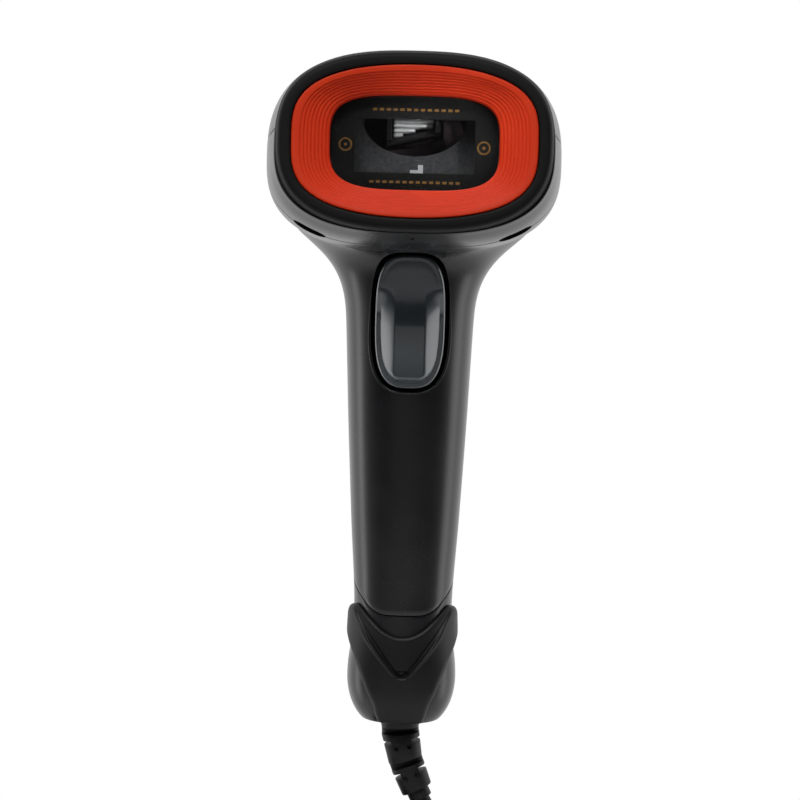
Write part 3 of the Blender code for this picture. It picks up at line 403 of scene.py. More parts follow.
# Moulded plastics: two tints, the range of roughness, the grain's scale and depth in millimetres, and the
# specular level where it isn't the usual one
PLASTICS = {
    "gloss_black": ((0.008, 0.008, 0.0095), (0.012, 0.012, 0.0135), (0.26, 0.31), 2400, 0.004),
    "matte_black": ((0.010, 0.010, 0.011), (0.015, 0.015, 0.016), (0.5, 0.58), 3600, 0.02),
    # rim_black is the bumper rim's own colour, and also painted shade on the pin lugs, the trigger's barrel
    # and the coil's bobbin
    "rim_black": ((0.003, 0.003, 0.003), (0.005, 0.005, 0.005), (0.58, 0.66), 3600, 0.01, 0.2),
    "cap_black": ((0.005, 0.005, 0.006), (0.008, 0.008, 0.009), (0.46, 0.54), 3600, 0.012, 0.3),
    "print_black": ((0.002, 0.002, 0.002), (0.003, 0.003, 0.003), (0.3, 0.36), 2400, 0.002, 0.15),
    "orange_trim": ((0.74, 0.040, 0.008), (0.78, 0.048, 0.010), (0.46, 0.52), 2000, 0.002, 0.2),
    "trigger_grey": ((0.054, 0.070, 0.077), (0.060, 0.077, 0.085), (0.2, 0.25), 2400, 0.003, 0.9),
    "foam_black": ((0.015, 0.015, 0.015), (0.04, 0.04, 0.04), (0.85, 0.95), 1800, 0.15),
    "winding_silver": ((0.75, 0.75, 0.76), (0.85, 0.85, 0.86), (0.25, 0.35), 2500, 0.004),
    "white_plastic": ((0.3, 0.3, 0.3), (0.36, 0.36, 0.36), (0.4, 0.5), 2600, 0.01),
    "cable_black": ((0.004, 0.004, 0.004), (0.007, 0.007, 0.007), (0.48, 0.56), 1600, 0.012, 0.3),
    "ribbon_amber": ((0.35, 0.18, 0.02), (0.5, 0.28, 0.05), (0.3, 0.4), 500, 0.01),
}
# Metals: two tints, the range of roughness, and the grain's scale and stretch
METALS = {
    "steel": ((0.52, 0.52, 0.54), (0.66, 0.66, 0.68), (0.22, 0.34), 900, (1, 1, 12)),
    "brass": ((0.62, 0.42, 0.16), (0.75, 0.54, 0.24), (0.22, 0.34), 900, (12, 1, 1)),
    "die_cast_grey": ((0.03, 0.03, 0.032), (0.05, 0.05, 0.052), (0.5, 0.62), 1500),
    "mirror_dark": ((0.10, 0.07, 0.08), (0.12, 0.09, 0.10), (0.03, 0.06), 60),
    "gold_print": ((0.16, 0.08, 0.025), (0.21, 0.11, 0.035), (0.4, 0.5), 900),
}


def make_materials():
    made = {name: moulded(name, *row) for name, row in PLASTICS.items()}
    made |= {name: metal(name, *row) for name, row in METALS.items()}
    made["window_glass"] = clear_plastic("window_glass", (0.93, 0.95, 0.95), 0.01, 0.2)
    made["lens_clear"] = clear_plastic("lens_clear", (0.92, 0.93, 0.93), 0.04)
    made["board_green"] = circuit_board("board_green")
    made["strap"] = woven_strap("strap")
    return made


# Mesh helpers


def finished(bm, name="shape", sharp=30):
    bmesh.ops.recalc_face_normals(bm, faces=bm.faces)
    mesh = bpy.data.meshes.new(name)
    bm.to_mesh(mesh)
    bm.free()
    mesh.shade_smooth()
    mesh.set_sharp_from_angle(angle=math.radians(sharp))
    return mesh


def piece(name, mesh, finish, slot, body, *nodes, place=None):
    """A finished piece: its material, its place, its body and the CAD nodes that it stands for."""
    made = add_object(name, mesh)
    mesh.materials.clear()
    mesh.materials.append(FINISH[finish])
    if place is not None:
        made.matrix_world = place
    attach(made, body)
    if nodes:
        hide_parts(*nodes)
    return made


def fixed(name, mesh, finish, *nodes, slot=None, place=None):
    """A piece of the housing. Its slot, which is its finish unless another is named, is not used."""
    return piece(name, mesh, finish, slot or finish, "housing", *nodes, place=place)


def here(*meshes):
    """Cutters for carved that are already in place."""
    return [(mesh, Matrix.Identity(4)) for mesh in meshes]


def turns(count, start=0.0):
    """Evenly spaced angles round a circle, the first one start steps on."""
    return [2 * math.pi * (i + start) / count for i in range(count)]


def baked(mesh, *modifiers, sharp=30):
    """A copy of mesh with modifiers applied, each (type, settings)."""
    carrier = add_object("carrier", mesh)
    for kind, settings in modifiers:
        modifier = carrier.modifiers.new(kind.lower(), kind)
        for setting, value in settings.items():
            setattr(modifier, setting, value)
    made = bpy.data.meshes.new_from_object(carrier.evaluated_get(bpy.context.evaluated_depsgraph_get()))
    bpy.data.objects.remove(carrier)
    made.shade_smooth()
    made.set_sharp_from_angle(angle=math.radians(sharp))
    return made


def carved(mesh, cutters, operation="DIFFERENCE", sharp=30):
    """mesh with each cutter, (mesh, matrix), taken out of it or joined on."""
    helpers = []
    settings = []
    for cutter, place in cutters:
        helper = add_object("cutter", cutter)
        helper.matrix_world = place
        helpers.append(helper)
        settings.append(("BOOLEAN", {"operation": operation, "object": helper}))
    made = baked(mesh, *settings, sharp=sharp)
    for helper in helpers:
        bpy.data.objects.remove(helper)
    return made


def bridge(bm, rings, closed=False, ends=False):
    """Faces between rings of points: closed joins the last ring to the first, ends caps them both."""
    count = len(rings[0])
    pairs = list(zip(rings, rings[1:]))
    if closed:
        pairs.append((rings[-1], rings[0]))
    for a, b in pairs:
        for i in range(count):
            j = (i + 1) % count
            bm.faces.new((a[i], a[j], b[j], b[i]))
    if ends:
        for ring in (rings[0], rings[-1]):
            bm.faces.new(ring)


def rod(start, end, radius, sides=32):
    """A plain rod between two points in millimetres."""
    start, end = Vector(start) * MM, Vector(end) * MM
    bm = bmesh.new()
    turn = (end - start).to_track_quat("Z", "Y").to_matrix().to_4x4()
    bmesh.ops.create_cone(
        bm,
        cap_ends=True,
        segments=sides,
        radius1=radius * MM,
        radius2=radius * MM,
        depth=(end - start).length,
        matrix=Matrix.Translation((start + end) / 2) @ turn,
    )
    return finished(bm)


def block(low, high, bevel=0.0, segments=3):
    """A block between two corners in millimetres, with rounded edges."""
    bm = bmesh.new()
    bmesh.ops.create_cube(bm, size=1)
    low, high = Vector(low) * MM, Vector(high) * MM
    size, middle = high - low, (high + low) / 2
    bmesh.ops.transform(bm, matrix=Matrix.Translation(middle) @ Matrix.Diagonal((*size, 1)), verts=bm.verts)
    if bevel:
        bmesh.ops.bevel(
            bm, geom=bm.edges[:], offset=bevel * MM, segments=segments, profile=0.5, affect="EDGES"
        )
    return finished(bm)


def monotone(points):
    """A smooth function through points (x, y) that doesn't overshoot them."""
    xs = [p[0] for p in points]
    ys = [p[1] for p in points]
    rises = [(ys[i + 1] - ys[i]) / (xs[i + 1] - xs[i]) for i in range(len(xs) - 1)]
    slopes = [rises[0]]
    for i in range(1, len(xs) - 1):
        before, after = xs[i] - xs[i - 1], xs[i + 1] - xs[i]
        if rises[i - 1] * rises[i] <= 0:
            slopes.append(0.0)
        else:
            weights = (2 * after + before, after + 2 * before)
            slopes.append(sum(weights) / (weights[0] / rises[i - 1] + weights[1] / rises[i]))
    slopes.append(rises[-1])

    def value(x):
        i = max(0, min(len(xs) - 2, bisect_right(xs, x) - 1))
        span = xs[i + 1] - xs[i]
        t = max(0.0, min(1.0, (x - xs[i]) / span))
        start, end = slopes[i] * span, slopes[i + 1] * span
        return (
            ys[i] * (1 + 2 * t) * (1 - t) ** 2
            + start * t * (1 - t) ** 2
            + ys[i + 1] * t * t * (3 - 2 * t)
            + end * t * t * (t - 1)
        )

    return value


def ease(t):
    t = max(0.0, min(1.0, t))
    return t * t * (3 - 2 * t)


def steps(start, end, count):
    return [start + (end - start) * i / count for i in range(count + 1)]


# The lofted body

COLUMNS = [monotone([(row[0], row[i]) for row in STATIONS]) for i in range(1, 6)]


def spine(s):
    """Place on the spine and the direction from it towards the top or the back."""
    if s <= NECK_START:
        return Vector((0, FACE_Y + s, HEAD_Z)), Vector((0, 0, 1))
    turn = min((s - NECK_START) / NECK_RADIUS, NECK_TURN)
    outward = Vector((0, math.sin(turn), math.cos(turn)))
    place = Vector((0, NECK_START_Y, HEAD_Z - NECK_RADIUS)) + NECK_RADIUS * outward
    if s > NECK_END:
        place += (s - NECK_END) * Vector((0, math.cos(turn), -math.sin(turn)))
    return place, outward


SECTIONS = {}


def section(s):
    """Everything that the skin needs at s: the five section values, the spine's place and its outward
    direction, each averaged over a short stretch so that the skin's curvature has no jumps."""
    key = round(s, 8)
    if key not in SECTIONS:
        total = sum(weight for _, weight in SMOOTHING)
        values = [0.0] * 5
        place, outward = Vector(), Vector()
        for offset, weight in SMOOTHING:
            where = s + offset * MM
            for i, column in enumerate(COLUMNS):
                values[i] += column(where / MM) * weight / total
            a, b = spine(where)
            place += a * weight / total
            outward += b * weight / total
        into = max(0.0, (s - (SPINE_END - FOOT_ROUND_LENGTH)) / FOOT_ROUND[0])
        inset = FOOT_ROUND[1] * (1 - math.sqrt(1 - min(1.0, into) ** 2))
        width, front, back, power, shift = values
        reaches = (width * MM - inset, front * MM - inset, back * MM - inset)
        SECTIONS[key] = (*reaches, power, shift * MM, place, outward.normalized())
    return SECTIONS[key]


def skin_point(s, turn):
    width, front, back, power, shift, place, outward = section(s)
    reach = front if math.cos(turn) > 0 else back
    radius = (abs(math.sin(turn) / width) ** power + abs(math.cos(turn) / reach) ** power) ** (-1 / power)
    return place + Vector((radius * math.sin(turn), 0, 0)) + (shift - radius * math.cos(turn)) * outward


def skin(s, turn, height=0.0):
    """A point at a height above the skin, or below it where height is negative."""
    if not height:
        return skin_point(s, turn)
    step = 0.05 * MM
    along = skin_point(min(s + step, SPINE_END), turn) - skin_point(s - step, turn)
    round_it = skin_point(s, turn + 0.002) - skin_point(s, turn - 0.002)
    return skin_point(s, turn) + height * along.cross(round_it).normalized()


def skin_sheet(place, columns, rows, around=False):
    """An open sheet on the skin. place(p, q) gives (s, turn) for p across and q along."""
    bm = bmesh.new()
    ps = steps(-1, 1, columns)
    if around:
        ps = ps[:-1]
    grid = [[bm.verts.new(skin(*place(p, q))) for p in ps] for q in rows]
    spans = len(ps) if around else len(ps) - 1
    for a, b in zip(grid, grid[1:]):
        for i in range(spans):
            j = (i + 1) % len(ps)
            bm.faces.new((a[i], b[i], b[j], a[j]))
    mesh = bpy.data.meshes.new("sheet")
    bm.to_mesh(mesh)
    bm.free()
    mesh.shade_smooth()
    return mesh


def shell_mesh(place, columns, rows, around=False, edge=0.16):
    """A moulded shell with the wall's thickness and rounded edges at its seams."""
    wall = ("SOLIDIFY", {"thickness": WALL, "offset": -1, "use_even_offset": True})
    rounding = (
        "BEVEL",
        {"width": edge * MM, "segments": 2, "limit_method": "ANGLE", "angle_limit": math.radians(50)},
    )
    return baked(skin_sheet(place, columns, rows, around), wall, rounding)


def seam_turn(s, side):
    return SEAM_TURN + side * SEAM_HALF / section(s)[0]


def chin_seam(turn):
    share = ease((abs(turn) - CHIN_FLAT_TURN) / (SEAM_TURN - CHIN_FLAT_TURN))
    return CHIN_SEAM + (CHIN_SEAM_SIDE - CHIN_SEAM) * share


COLLAR_AT = monotone(COLLAR_DIP)


def collar_seam(turn):
    return COLLAR_AT(min(SEAM_DEGREES, abs(math.degrees(turn)))) * MM


def spine_shares(start, end, fine=1.0):
    """Shares of a stretch of spine, closer together in the neck where the body bends."""
    rows = []
    s = start
    while s < end - 0.4 * MM:
        rows.append((s - start) / (end - start))
        bend = 30 * MM < s < 85 * MM
        s += (0.8 if bend else 1.5) * MM * fine
    return [*rows, 1.0]


# Housing


def rear_housing():
    def place(p, q):
        s = NOSE_SEAM + (COLLAR_SEAM - SEAM_HALF - NOSE_SEAM) * q
        return s, math.pi + p * (math.pi - seam_turn(s, 1))

    mesh = shell_mesh(place, 92, spine_shares(NOSE_SEAM, COLLAR_SEAM))
    bosses = [(rod((0, 13.2, h / MM), (0, 10.2, h / MM), 3.4), HANDLE) for h in CASE_SCREWS.values()]
    mesh = carved(mesh, bosses, "UNION")
    cutters = [(indicator_mesh(0.12, 70 * MM, 110 * MM), HANDLE)]
    for h in CASE_SCREWS.values():
        cutters.append((rod((0, 20, h / MM), (0, 11.3, h / MM), 2.5, 48), HANDLE))
        cutters.append((rod((0, 20, h / MM), (0, 8, h / MM), 1.6), HANDLE))
    fixed("rear_housing_shell", carved(mesh, cutters), "gloss_black", "rear_housing")
    for name, h in CASE_SCREWS.items():
        place = HANDLE @ Matrix.Translation((0, 13.1 * MM, h)) @ Matrix.Rotation(math.pi / 2, 4, "X")
        fixed(f"case_screw_{name}_detail", cross_screw(), "steel", f"case_screw_{name}", place=place)


def cross_screw():
    """A pan-head screw that points along +Z from its head, with a cross recess."""
    head, height, shank, length = 2.1, 1.5, 1.2, 14
    profile = [(0.05, 0), (1.3, 0.02), (1.75, 0.2), (2.02, 0.6)]
    profile += [(head, 1.0), (head, height), (shank, height)]
    for i in range(24):
        z = height + 0.4 + i * 0.45
        profile.append((shank - (0.28 if i % 2 else 0.0), z))
    profile.append((0.1, length))
    bm = bmesh.new()
    rings = []
    for r, z in profile:
        places = [(r * MM * math.cos(a), r * MM * math.sin(a), z * MM) for a in turns(32)]
        rings.append([bm.verts.new(place) for place in places])
    bridge(bm, rings, ends=True)
    half, wide, deep = 1.15, 0.32, 0.9
    arms = [block((-half, -wide, -1), (half, wide, deep)), block((-wide, -half, -1), (wide, half, deep))]
    return carved(finished(bm), here(*arms))


def indicator_mesh(grow, low, high, follow=False):
    """The oval light pipe's stem in the handle's frame. With follow, its top lies on the skin."""
    bm = bmesh.new()
    rings = []
    sides = 40
    levels = [(low, 1.0), (high, 1.0)]
    if follow:
        levels = [(low, 1.0), (None, 1.0), (None, 0.94), (None, 0.5), (None, 0.12)]
    for z, share in levels:
        ring = []
        for angle in turns(sides):
            x = (2.6 + grow) * share * MM * math.cos(angle)
            y = (6.0 + (1.3 + grow) * share * math.sin(angle)) * MM
            top = z
            if z is None:
                top = handle_top(x, y) - (0.12 * MM if share == 1.0 else 0.03 * MM)
            ring.append(bm.verts.new((x, y, top)))
        rings.append(ring)
    bridge(bm, rings, ends=True)
    return finished(bm)


def handle_top(x, y):
    """Height in the handle's frame at which the housing's top lies over (x, y)."""
    inverse = HANDLE.inverted()
    low, high = 20 * MM, 60 * MM
    for _ in range(40):
        s = (low + high) / 2
        turn = math.pi - math.asin(max(-1.0, min(1.0, x / section(s)[2])))
        if (inverse @ skin_point(s, turn)).y < y:
            low = s
        else:
            high = s
    return (inverse @ skin_point(s, turn)).z


def slot_mesh(side):
    """Cutter for a sound slot, an oval across the chin seam."""
    turn = side * SLOT_TURN
    middle = skin(CHIN_SEAM, turn)
    normal = (skin(CHIN_SEAM, turn, MM) - middle).normalized()
    across = (skin(CHIN_SEAM, turn + 0.01) - skin(CHIN_SEAM, turn - 0.01)).normalized()
    along = normal.cross(across)
    half_length, half_width, sides = 4.1 * MM, 2.9 * MM, 48
    bm = bmesh.new()
    rings = []
    for height in (-4 * MM, 3 * MM):
        ring = []
        for angle in turns(sides, 0.5):
            reach = (half_length - half_width) * (1 if math.cos(angle) >= 0 else -1)
            offset = across * (reach + half_width * math.cos(angle)) + along * half_width * math.sin(angle)
            ring.append(bm.verts.new(middle + height * normal + offset))
        rings.append(ring)
    bridge(bm, rings, ends=True)
    return finished(bm)


def chin_shell():
    def place(p, q):
        turn = p * SEAM_TURN
        s = NOSE_SEAM + (chin_seam(turn) - SEAM_HALF - NOSE_SEAM) * q
        return s, p * seam_turn(s, -1)

    mesh = shell_mesh(place, 110, steps(0, 1, 12))
    hole = skin(PINHOLE * MM, 0) / MM
    pinhole = rod(hole + Vector((0, 0, 4)), hole - Vector((0, 0, 2)), 0.45)
    cutters = here(slot_mesh(-1), slot_mesh(1), pinhole)
    fixed("chin_shell_detail", carved(mesh, cutters), "gloss_black", "chin_shell")


def trigger_outline(grow, turn):
    """Point (x, z) of the trigger's outline in the handle's frame, grown by grow."""
    w, h = TRIGGER_HALF_WIDTH + grow, TRIGGER_HALF_HEIGHT + grow
    power = 3.3 if math.cos(turn) > 0 else 3.0
    across, up = math.sin(turn), math.cos(turn)
    reach = (abs(across / w) ** power + abs(up / h) ** power) ** (-1 / power)
    return reach * across, TRIGGER_MIDDLE + reach * up


def grip_front():
    def place(p, q):
        turn = p * SEAM_TURN
        start, end = chin_seam(turn) + SEAM_HALF, collar_seam(turn) - SEAM_HALF
        s = start + (end - start) * q
        return s, p * seam_turn(s, -1)

    mesh = shell_mesh(place, 110, spine_shares(CHIN_SEAM, collar_seam(0)))
    tree = BVHTree.FromPolygons([v.co for v in mesh.vertices], [tuple(f.vertices) for f in mesh.polygons])
    bm = bmesh.new()
    rings = []
    sides = 96
    for y in (-30 * MM, -9.4 * MM):
        ring = []
        for i in range(sides):
            x, z = trigger_outline(TRIGGER_CLEARANCE, 2 * math.pi * i / sides)
            ring.append(bm.verts.new((x, y, z)))
        rings.append(ring)
    bridge(bm, rings, ends=True)
    cutters = [(finished(bm), HANDLE)]
    cutters += here(slot_mesh(-1), slot_mesh(1))
    fixed("grip_front_shell", carved(mesh, cutters), "gloss_black", "grip_front")

    # Lugs that hold the trigger's pin, and posts for the screws that hold the two halves together
    y, z = PIVOT.y / MM, PIVOT.z / MM
    pin_hole = rod((-14, y, z), (14, y, z), 1.3)
    for name, side in (("left", -1), ("right", 1)):
        low, high = sorted((side * 9.6, side * 11.7))
        lug = block((low, -12.4, z - 3.2), (high, y + 2.8, z + 3.2), 0.3)
        lug = carved(lug, here(pin_hole))
        # The lugs get the near-black rim finish rather than the housing's gloss black: painted shade in the
        # trigger's opening.
        fixed(f"pin_lug_{name}", lug, "rim_black", slot="gloss_black", place=HANDLE)
    front = -section(NECK_END)[1] / MM
    for name, height in CASE_SCREWS.items():
        z = height / MM
        pilot = rod((0, 12, z), (0, -3, z), 1.5)
        post = carved(rod((0, front + 3.4, z), (0, 9.6, z), 2.7), here(pilot))
        fixed(f"{name}_screw_post", post, "gloss_black", place=HANDLE)

    # Rounded lip along the edge of the trigger's opening, which thins out towards its top
    route, radii = [], []
    toward = (HANDLE.to_3x3() @ Vector((0, 1, 0))).normalized()
    for turn in turns(sides):
        radius = (0.12 + 0.26 * ease((48 - trigger_outline(0, turn)[1] / MM) / 12)) * MM
        x, z = trigger_outline(TRIGGER_CLEARANCE + 0.7 * radius, turn)
        hit = tree.ray_cast(HANDLE @ Vector((x, -60 * MM, z)), toward)[0]
        route.append(hit + toward * 0.75 * radius)
        radii.append(radius)
    lip = tube_mesh(route, radii, 10, closed=True)
    fixed("trigger_opening_lip", lip, "gloss_black")


def tail_cup():
    def place(p, q):
        turn = math.pi * p
        start = collar_seam(turn) if abs(turn) < SEAM_TURN else COLLAR_SEAM
        start += SEAM_HALF
        return start + (SPINE_END - start) * q, turn

    rounding = [0.62 + 0.38 * math.sin(math.pi / 2 * i / 24) for i in range(1, 25)]
    mesh = shell_mesh(place, 128, [*steps(0, 0.62, 24), *rounding], around=True)
    fixed("tail_cup_shell", mesh, "gloss_black", "tail_cup")


def tail_cap():
    """The matte bib over the tail: rounded ears and edges, a V-shaped step in its front that ends in a
    rounded notch."""
    top_at, edge_at, v_at = monotone(CAP_TOP), monotone(CAP_EDGE), monotone(CAP_V)
    side_top = CAP_TOP[-1][1]
    thickness, side_thickness = 1.8, 1.5

    def place(p, q):
        top = top_at(abs(p))
        edge = edge_at(side_top + (CAP_FOOT - side_top) * q)
        return top + (CAP_FOOT - top) * q, p * math.radians(edge), top, edge

    def rounded(distance, radius):
        t = max(0.0, min(1.0, distance / radius))
        return math.sqrt(1 - (1 - t) ** 2)

    def height(p, q):
        s, turn, top, edge = place(p, q)
        x = abs(skin_point(s * MM, turn).x) / MM
        side = (1 - abs(p)) * math.radians(edge) * 13
        ear = ease((abs(p) - 0.2) / 0.3)
        roll_off = rounded(side, 1.6) * rounded(s - top, 1.0 + 0.9 * ear)
        roll_off *= rounded(CAP_FOOT - s + 0.25, 0.8)
        inside = (v_at(s) - x) * 0.84 if s < CAP_V[-1][0] else -1
        step = ease(inside / 0.35 + 0.5) * ease((s - 149) / 3)
        lower = ease((s - 153.5) / 6)
        ridge = math.exp(-(((inside + 0.45) / 0.3) ** 2)) * lower
        groove = math.exp(-(((inside - 0.35) / 0.3) ** 2)) * lower
        notch = ease(1.6 - math.hypot(x / 1.55, (s - 165.1) / 0.85) * 1.1)
        relief = 0.25 * ridge - 0.62 * step - 0.3 * groove - 0.55 * notch
        side_share = ease((math.degrees(abs(turn)) - 50) / 35)
        thick = thickness + (side_thickness - thickness) * side_share
        return max(0.36, 0.35 + (thick - 0.35 + relief) * roll_off)

    columns = steps(-1, 1, 220)
    rows = steps(0, 1, 140)
    bm = bmesh.new()
    layers = []
    for level in (height, lambda p, q: GAP / MM):
        grid = []
        for q in rows:
            line = []
            for p in columns:
                s, turn = place(p, q)[:2]
                line.append(bm.verts.new(skin(s * MM, turn, level(p, q) * MM)))
            grid.append(line)
        layers.append(grid)
    last_row, last_column = len(rows) - 1, len(columns) - 1
    for grid in layers:
        for a, b in zip(grid, grid[1:]):
            for i in range(last_column):
                bm.faces.new((a[i], a[i + 1], b[i + 1], b[i]))
    above, below = layers
    for row in (0, last_row):
        for i in range(last_column):
            bm.faces.new((above[row][i], above[row][i + 1], below[row][i + 1], below[row][i]))
    for column in (0, last_column):
        for i in range(last_row):
            bm.faces.new((above[i][column], above[i + 1][column], below[i + 1][column], below[i][column]))
    fixed("tail_cap_bib", finished(bm, sharp=60), "cap_black", "tail_cap", slot="matte_black")


# Scan head front


def oval_ring(bm, y, half_width, half_height, power_x, power_z, sides=160):
    """A ring of points on |x/w|^px + |z/h|^pz = 1 round the window's axis."""
    ring = []
    for turn in turns(sides):
        across, up = abs(math.sin(turn)) / half_width, abs(math.cos(turn)) / half_height
        low, high = 0.0, 2 * half_width
        for _ in range(36):
            reach = (low + high) / 2
            if (reach * across) ** power_x + (reach * up) ** power_z < 1:
                low = reach
            else:
                high = reach
        ring.append(bm.verts.new((reach * math.sin(turn), y, HEAD_Z + reach * math.cos(turn))))
    return ring


def lathe_oval(rings, sharp=30):
    bm = bmesh.new()
    bridge(bm, [oval_ring(bm, *ring) for ring in rings], closed=True)
    return finished(bm, sharp=sharp)


def nose_bumper():
    w, h = BUMPER
    tw, th = TRIM_OUTER
    y = FACE_Y
    rings = [(y + 2.85 * MM, w + 0.62 * MM, h + 0.52 * MM, 2.7, 2.7)]
    for i in range(9):  # side that flares to the shell, and rounded outer edge
        angle = math.pi / 2 * i / 8
        back, inward = 1.4 * (1 - math.sin(angle)), 1.2 * (1 - math.cos(angle))
        rings.append((y + back * MM, w + (0.22 - inward) * MM, h + (0.2 - inward) * MM, 2.65, 2.65))
    for i in range(5):  # rounded inner edge
        angle = math.pi / 2 * i / 4
        offset, back = 0.12 + 0.5 * (1 - math.sin(angle)), 0.4 * (1 - math.cos(angle))
        rings.append((y + back * MM, tw + offset * MM, th + offset * MM, 2.25, 3.2))
    rings += [
        (y + 6.5 * MM, tw + 0.3 * MM, th + 0.3 * MM, 2.2, 3.3),
        (y + 6.5 * MM, tw + 1.0 * MM, th + 0.6 * MM, 2.5, 2.9),
        (y + 2.85 * MM, tw + 1.0 * MM, th + 0.6 * MM, 2.5, 2.9),
    ]
    fixed("nose_bumper_rim", lathe_oval(rings), "rim_black", "nose_bumper", slot="matte_black")


def trim_ring():
    """The funnel round the window: a smooth band, then terraces that follow its outline."""
    (w, h), (iw, ih) = TRIM_OUTER, TRIM_INNER
    front, depth = FACE_Y + 0.55 * MM, TRIM_DEPTH + 0.25 * MM
    terraces, band, foot = 8, 0.17, 0.93
    low, deep = 0.02, 0.60
    tread = ((0, 0), (0.34, 0.02), (0.5, 0.12), (0.62, 0.4), (0.78, 0.92))

    def ring(t, share):
        """t runs from 0 at the outer edge to 1 at the opening."""
        y = front + depth * share
        return y, w + (iw - w) * t, h + (ih - h) * t, 2.2 + 1.4 * ease(t), 3.3 + 0.3 * t

    lip = ((0, 0.35), (0, 0.08), (0.008, 0.03), (0.03, 0.003), (0.06, 0), (0.12, 0.004))
    rings = [ring(*place) for place in lip]
    span, rise = (foot - band) / terraces, (deep - low) / terraces
    for i in range(terraces):
        rings += [ring(band + span * (i + u), low + rise * (i + v)) for u, v in tread]
    inner = ((foot, 0), (0.965, 0.02), (0.985, 0.06), (1.0, 0.14), (1.0, 1.0 - deep))
    rings += [ring(t, deep + further) for t, further in inner]
    back = front + depth
    rings += [(back, iw + 1.6 * MM, ih + 1.6 * MM, 3.4, 3.5), (front + 2.4 * MM, w, h, 2.2, 3.3)]
    fixed("trim_ring_terraced", lathe_oval(rings, sharp=60), "orange_trim", "trim_ring")


def window_print():
    """Generic gold marks on the black print: a row of short dashes above and below the clear area, and a
    dotted ring on each side of it."""
    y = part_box("window_mask")[0].y - 0.06 * MM
    low, high = y - 0.03 * MM, y
    bm = bmesh.new()

    def bar(x0, x1, z0, z1):
        corners = [(x0, z0), (x1, z0), (x1, z1), (x0, z1)]
        rings = [[bm.verts.new((x * MM, depth, z * MM)) for x, z in corners] for depth in (low, high)]
        bridge(bm, rings, ends=True)

    middle = HEAD_Z / MM
    for row, (z, count, pitch) in enumerate(((middle + 7.55, 13, 1.52), (middle - 8.55, 14, 1.48))):
        length = pitch * 0.62
        for i in range(count):
            x = (i - (count - 1) / 2) * pitch + 0.15
            bar(x - length / 2, x + length / 2, z - 0.28, z + 0.28)
    for side in (-1, 1):
        centre = Vector((side * 15.4, 0, middle - 0.5 - side * 0.1))
        for inner, outer in ((1.15, 1.5), (0.0, 0.35)):
            rings = []
            least = max(inner, 0.02)
            for radius, depth in ((outer, low), (outer, high), (least, high), (least, low)):
                ring = []
                for angle in turns(40):
                    place = centre + radius * Vector((math.sin(angle), 0, math.cos(angle)))
                    ring.append(bm.verts.new((place.x * MM, depth, place.z * MM)))
                rings.append(ring)
            bridge(bm, rings, closed=True)
    fixed("window_marks", finished(bm), "gold_print", slot="brass")


# Trigger


def trigger():
    """A raised pad on a thin flange. Its crest bulges in its lower part, where its flanks are steepest,
    and a skirt drops into the handle."""
    crest = monotone(
        [(25, -19.8), (29, -20.3), (34, -20.4), (41, -20.2), (47, -19.3), (52, -19.1), (58, -18.9)]
    )
    flange = monotone([(25, -16.5), (43, -16.5), (50, -19.1), (53, -19.0), (58, -18.85)])
    flange_edge, edge = 1.15, 0.36
    insets = [0.03, 0.08, 0.16, 0.24, 0.36, 0.5, 0.75, 0.95, 1.05, 1.15]
    insets += [1.15 + 0.2 * i for i in range(1, 21)] + [5.5, 6.3, 7.1, 7.9]
    sides = 160
    half_width, half_height = TRIGGER_HALF_WIDTH / MM, TRIGGER_HALF_HEIGHT / MM
    middle = TRIGGER_MIDDLE / MM

    def front(x, z, inset):
        bulge = flange(z) - crest(z)
        across = min(1.0, max(0.0, (half_width - flange_edge - abs(x)) / 3.4))
        along = min(1.0, max(0.0, (half_height - flange_edge - abs(z - middle)) / 2.2))
        edge_on = min(1.0, max(0.0, (inset - flange_edge) / 1.6))
        drop = max((1 - across) ** 1.12, (1 - along) ** 2, (1 - edge_on) ** 2)
        chamfer = 1.15 * edge * (1 - min(1.0, inset / edge)) ** 1.15
        return crest(z) + bulge * drop + chamfer

    bm = bmesh.new()
    rings = []
    for inset in [None, 0, *insets]:
        ring = []
        for i in range(sides):
            x, z = trigger_outline(0, 2 * math.pi * i / sides)
            share = (inset or 0) / half_width
            x, z = x / MM * (1 - share), middle + (z / MM - middle) * (1 - (inset or 0) / half_height)
            y = TRIGGER_BACK / MM if inset is None else front(x, z, inset)
            ring.append(bm.verts.new((x * MM, y * MM, z * MM)))
        rings.append(ring)
    bridge(bm, rings)
    bm.faces.new(rings[0])
    last = rings[-1]
    for i in range(sides // 2 - 1):  # closes the ridge left in the middle
        bm.faces.new((last[i], last[i + 1], last[-i - 2], last[-i - 1]))
    mesh = finished(bm, sharp=50)
    y, z = PIVOT.y / MM, PIVOT.z / MM
    foot = block((-1.2, -12, 28.5), (1.2, -5.9, 31.5))  # presses on the switch
    mesh = carved(mesh, here(foot), "UNION", sharp=50)
    piece("trigger_pad", mesh, "trigger_grey", "trigger_grey", "trigger", "trigger", place=HANDLE)
    bore = rod((-12, y, z), (12, y, z), 1.15)
    barrel = carved(rod((-9, y, z), (9, y, z), 2.6), here(bore))
    # The barrel gets the near-black rim finish rather than the trigger's grey: painted shade in the gap
    # above the trigger.
    piece("trigger_barrel", barrel, "rim_black", "trigger_grey", "trigger", place=HANDLE)


# Lead


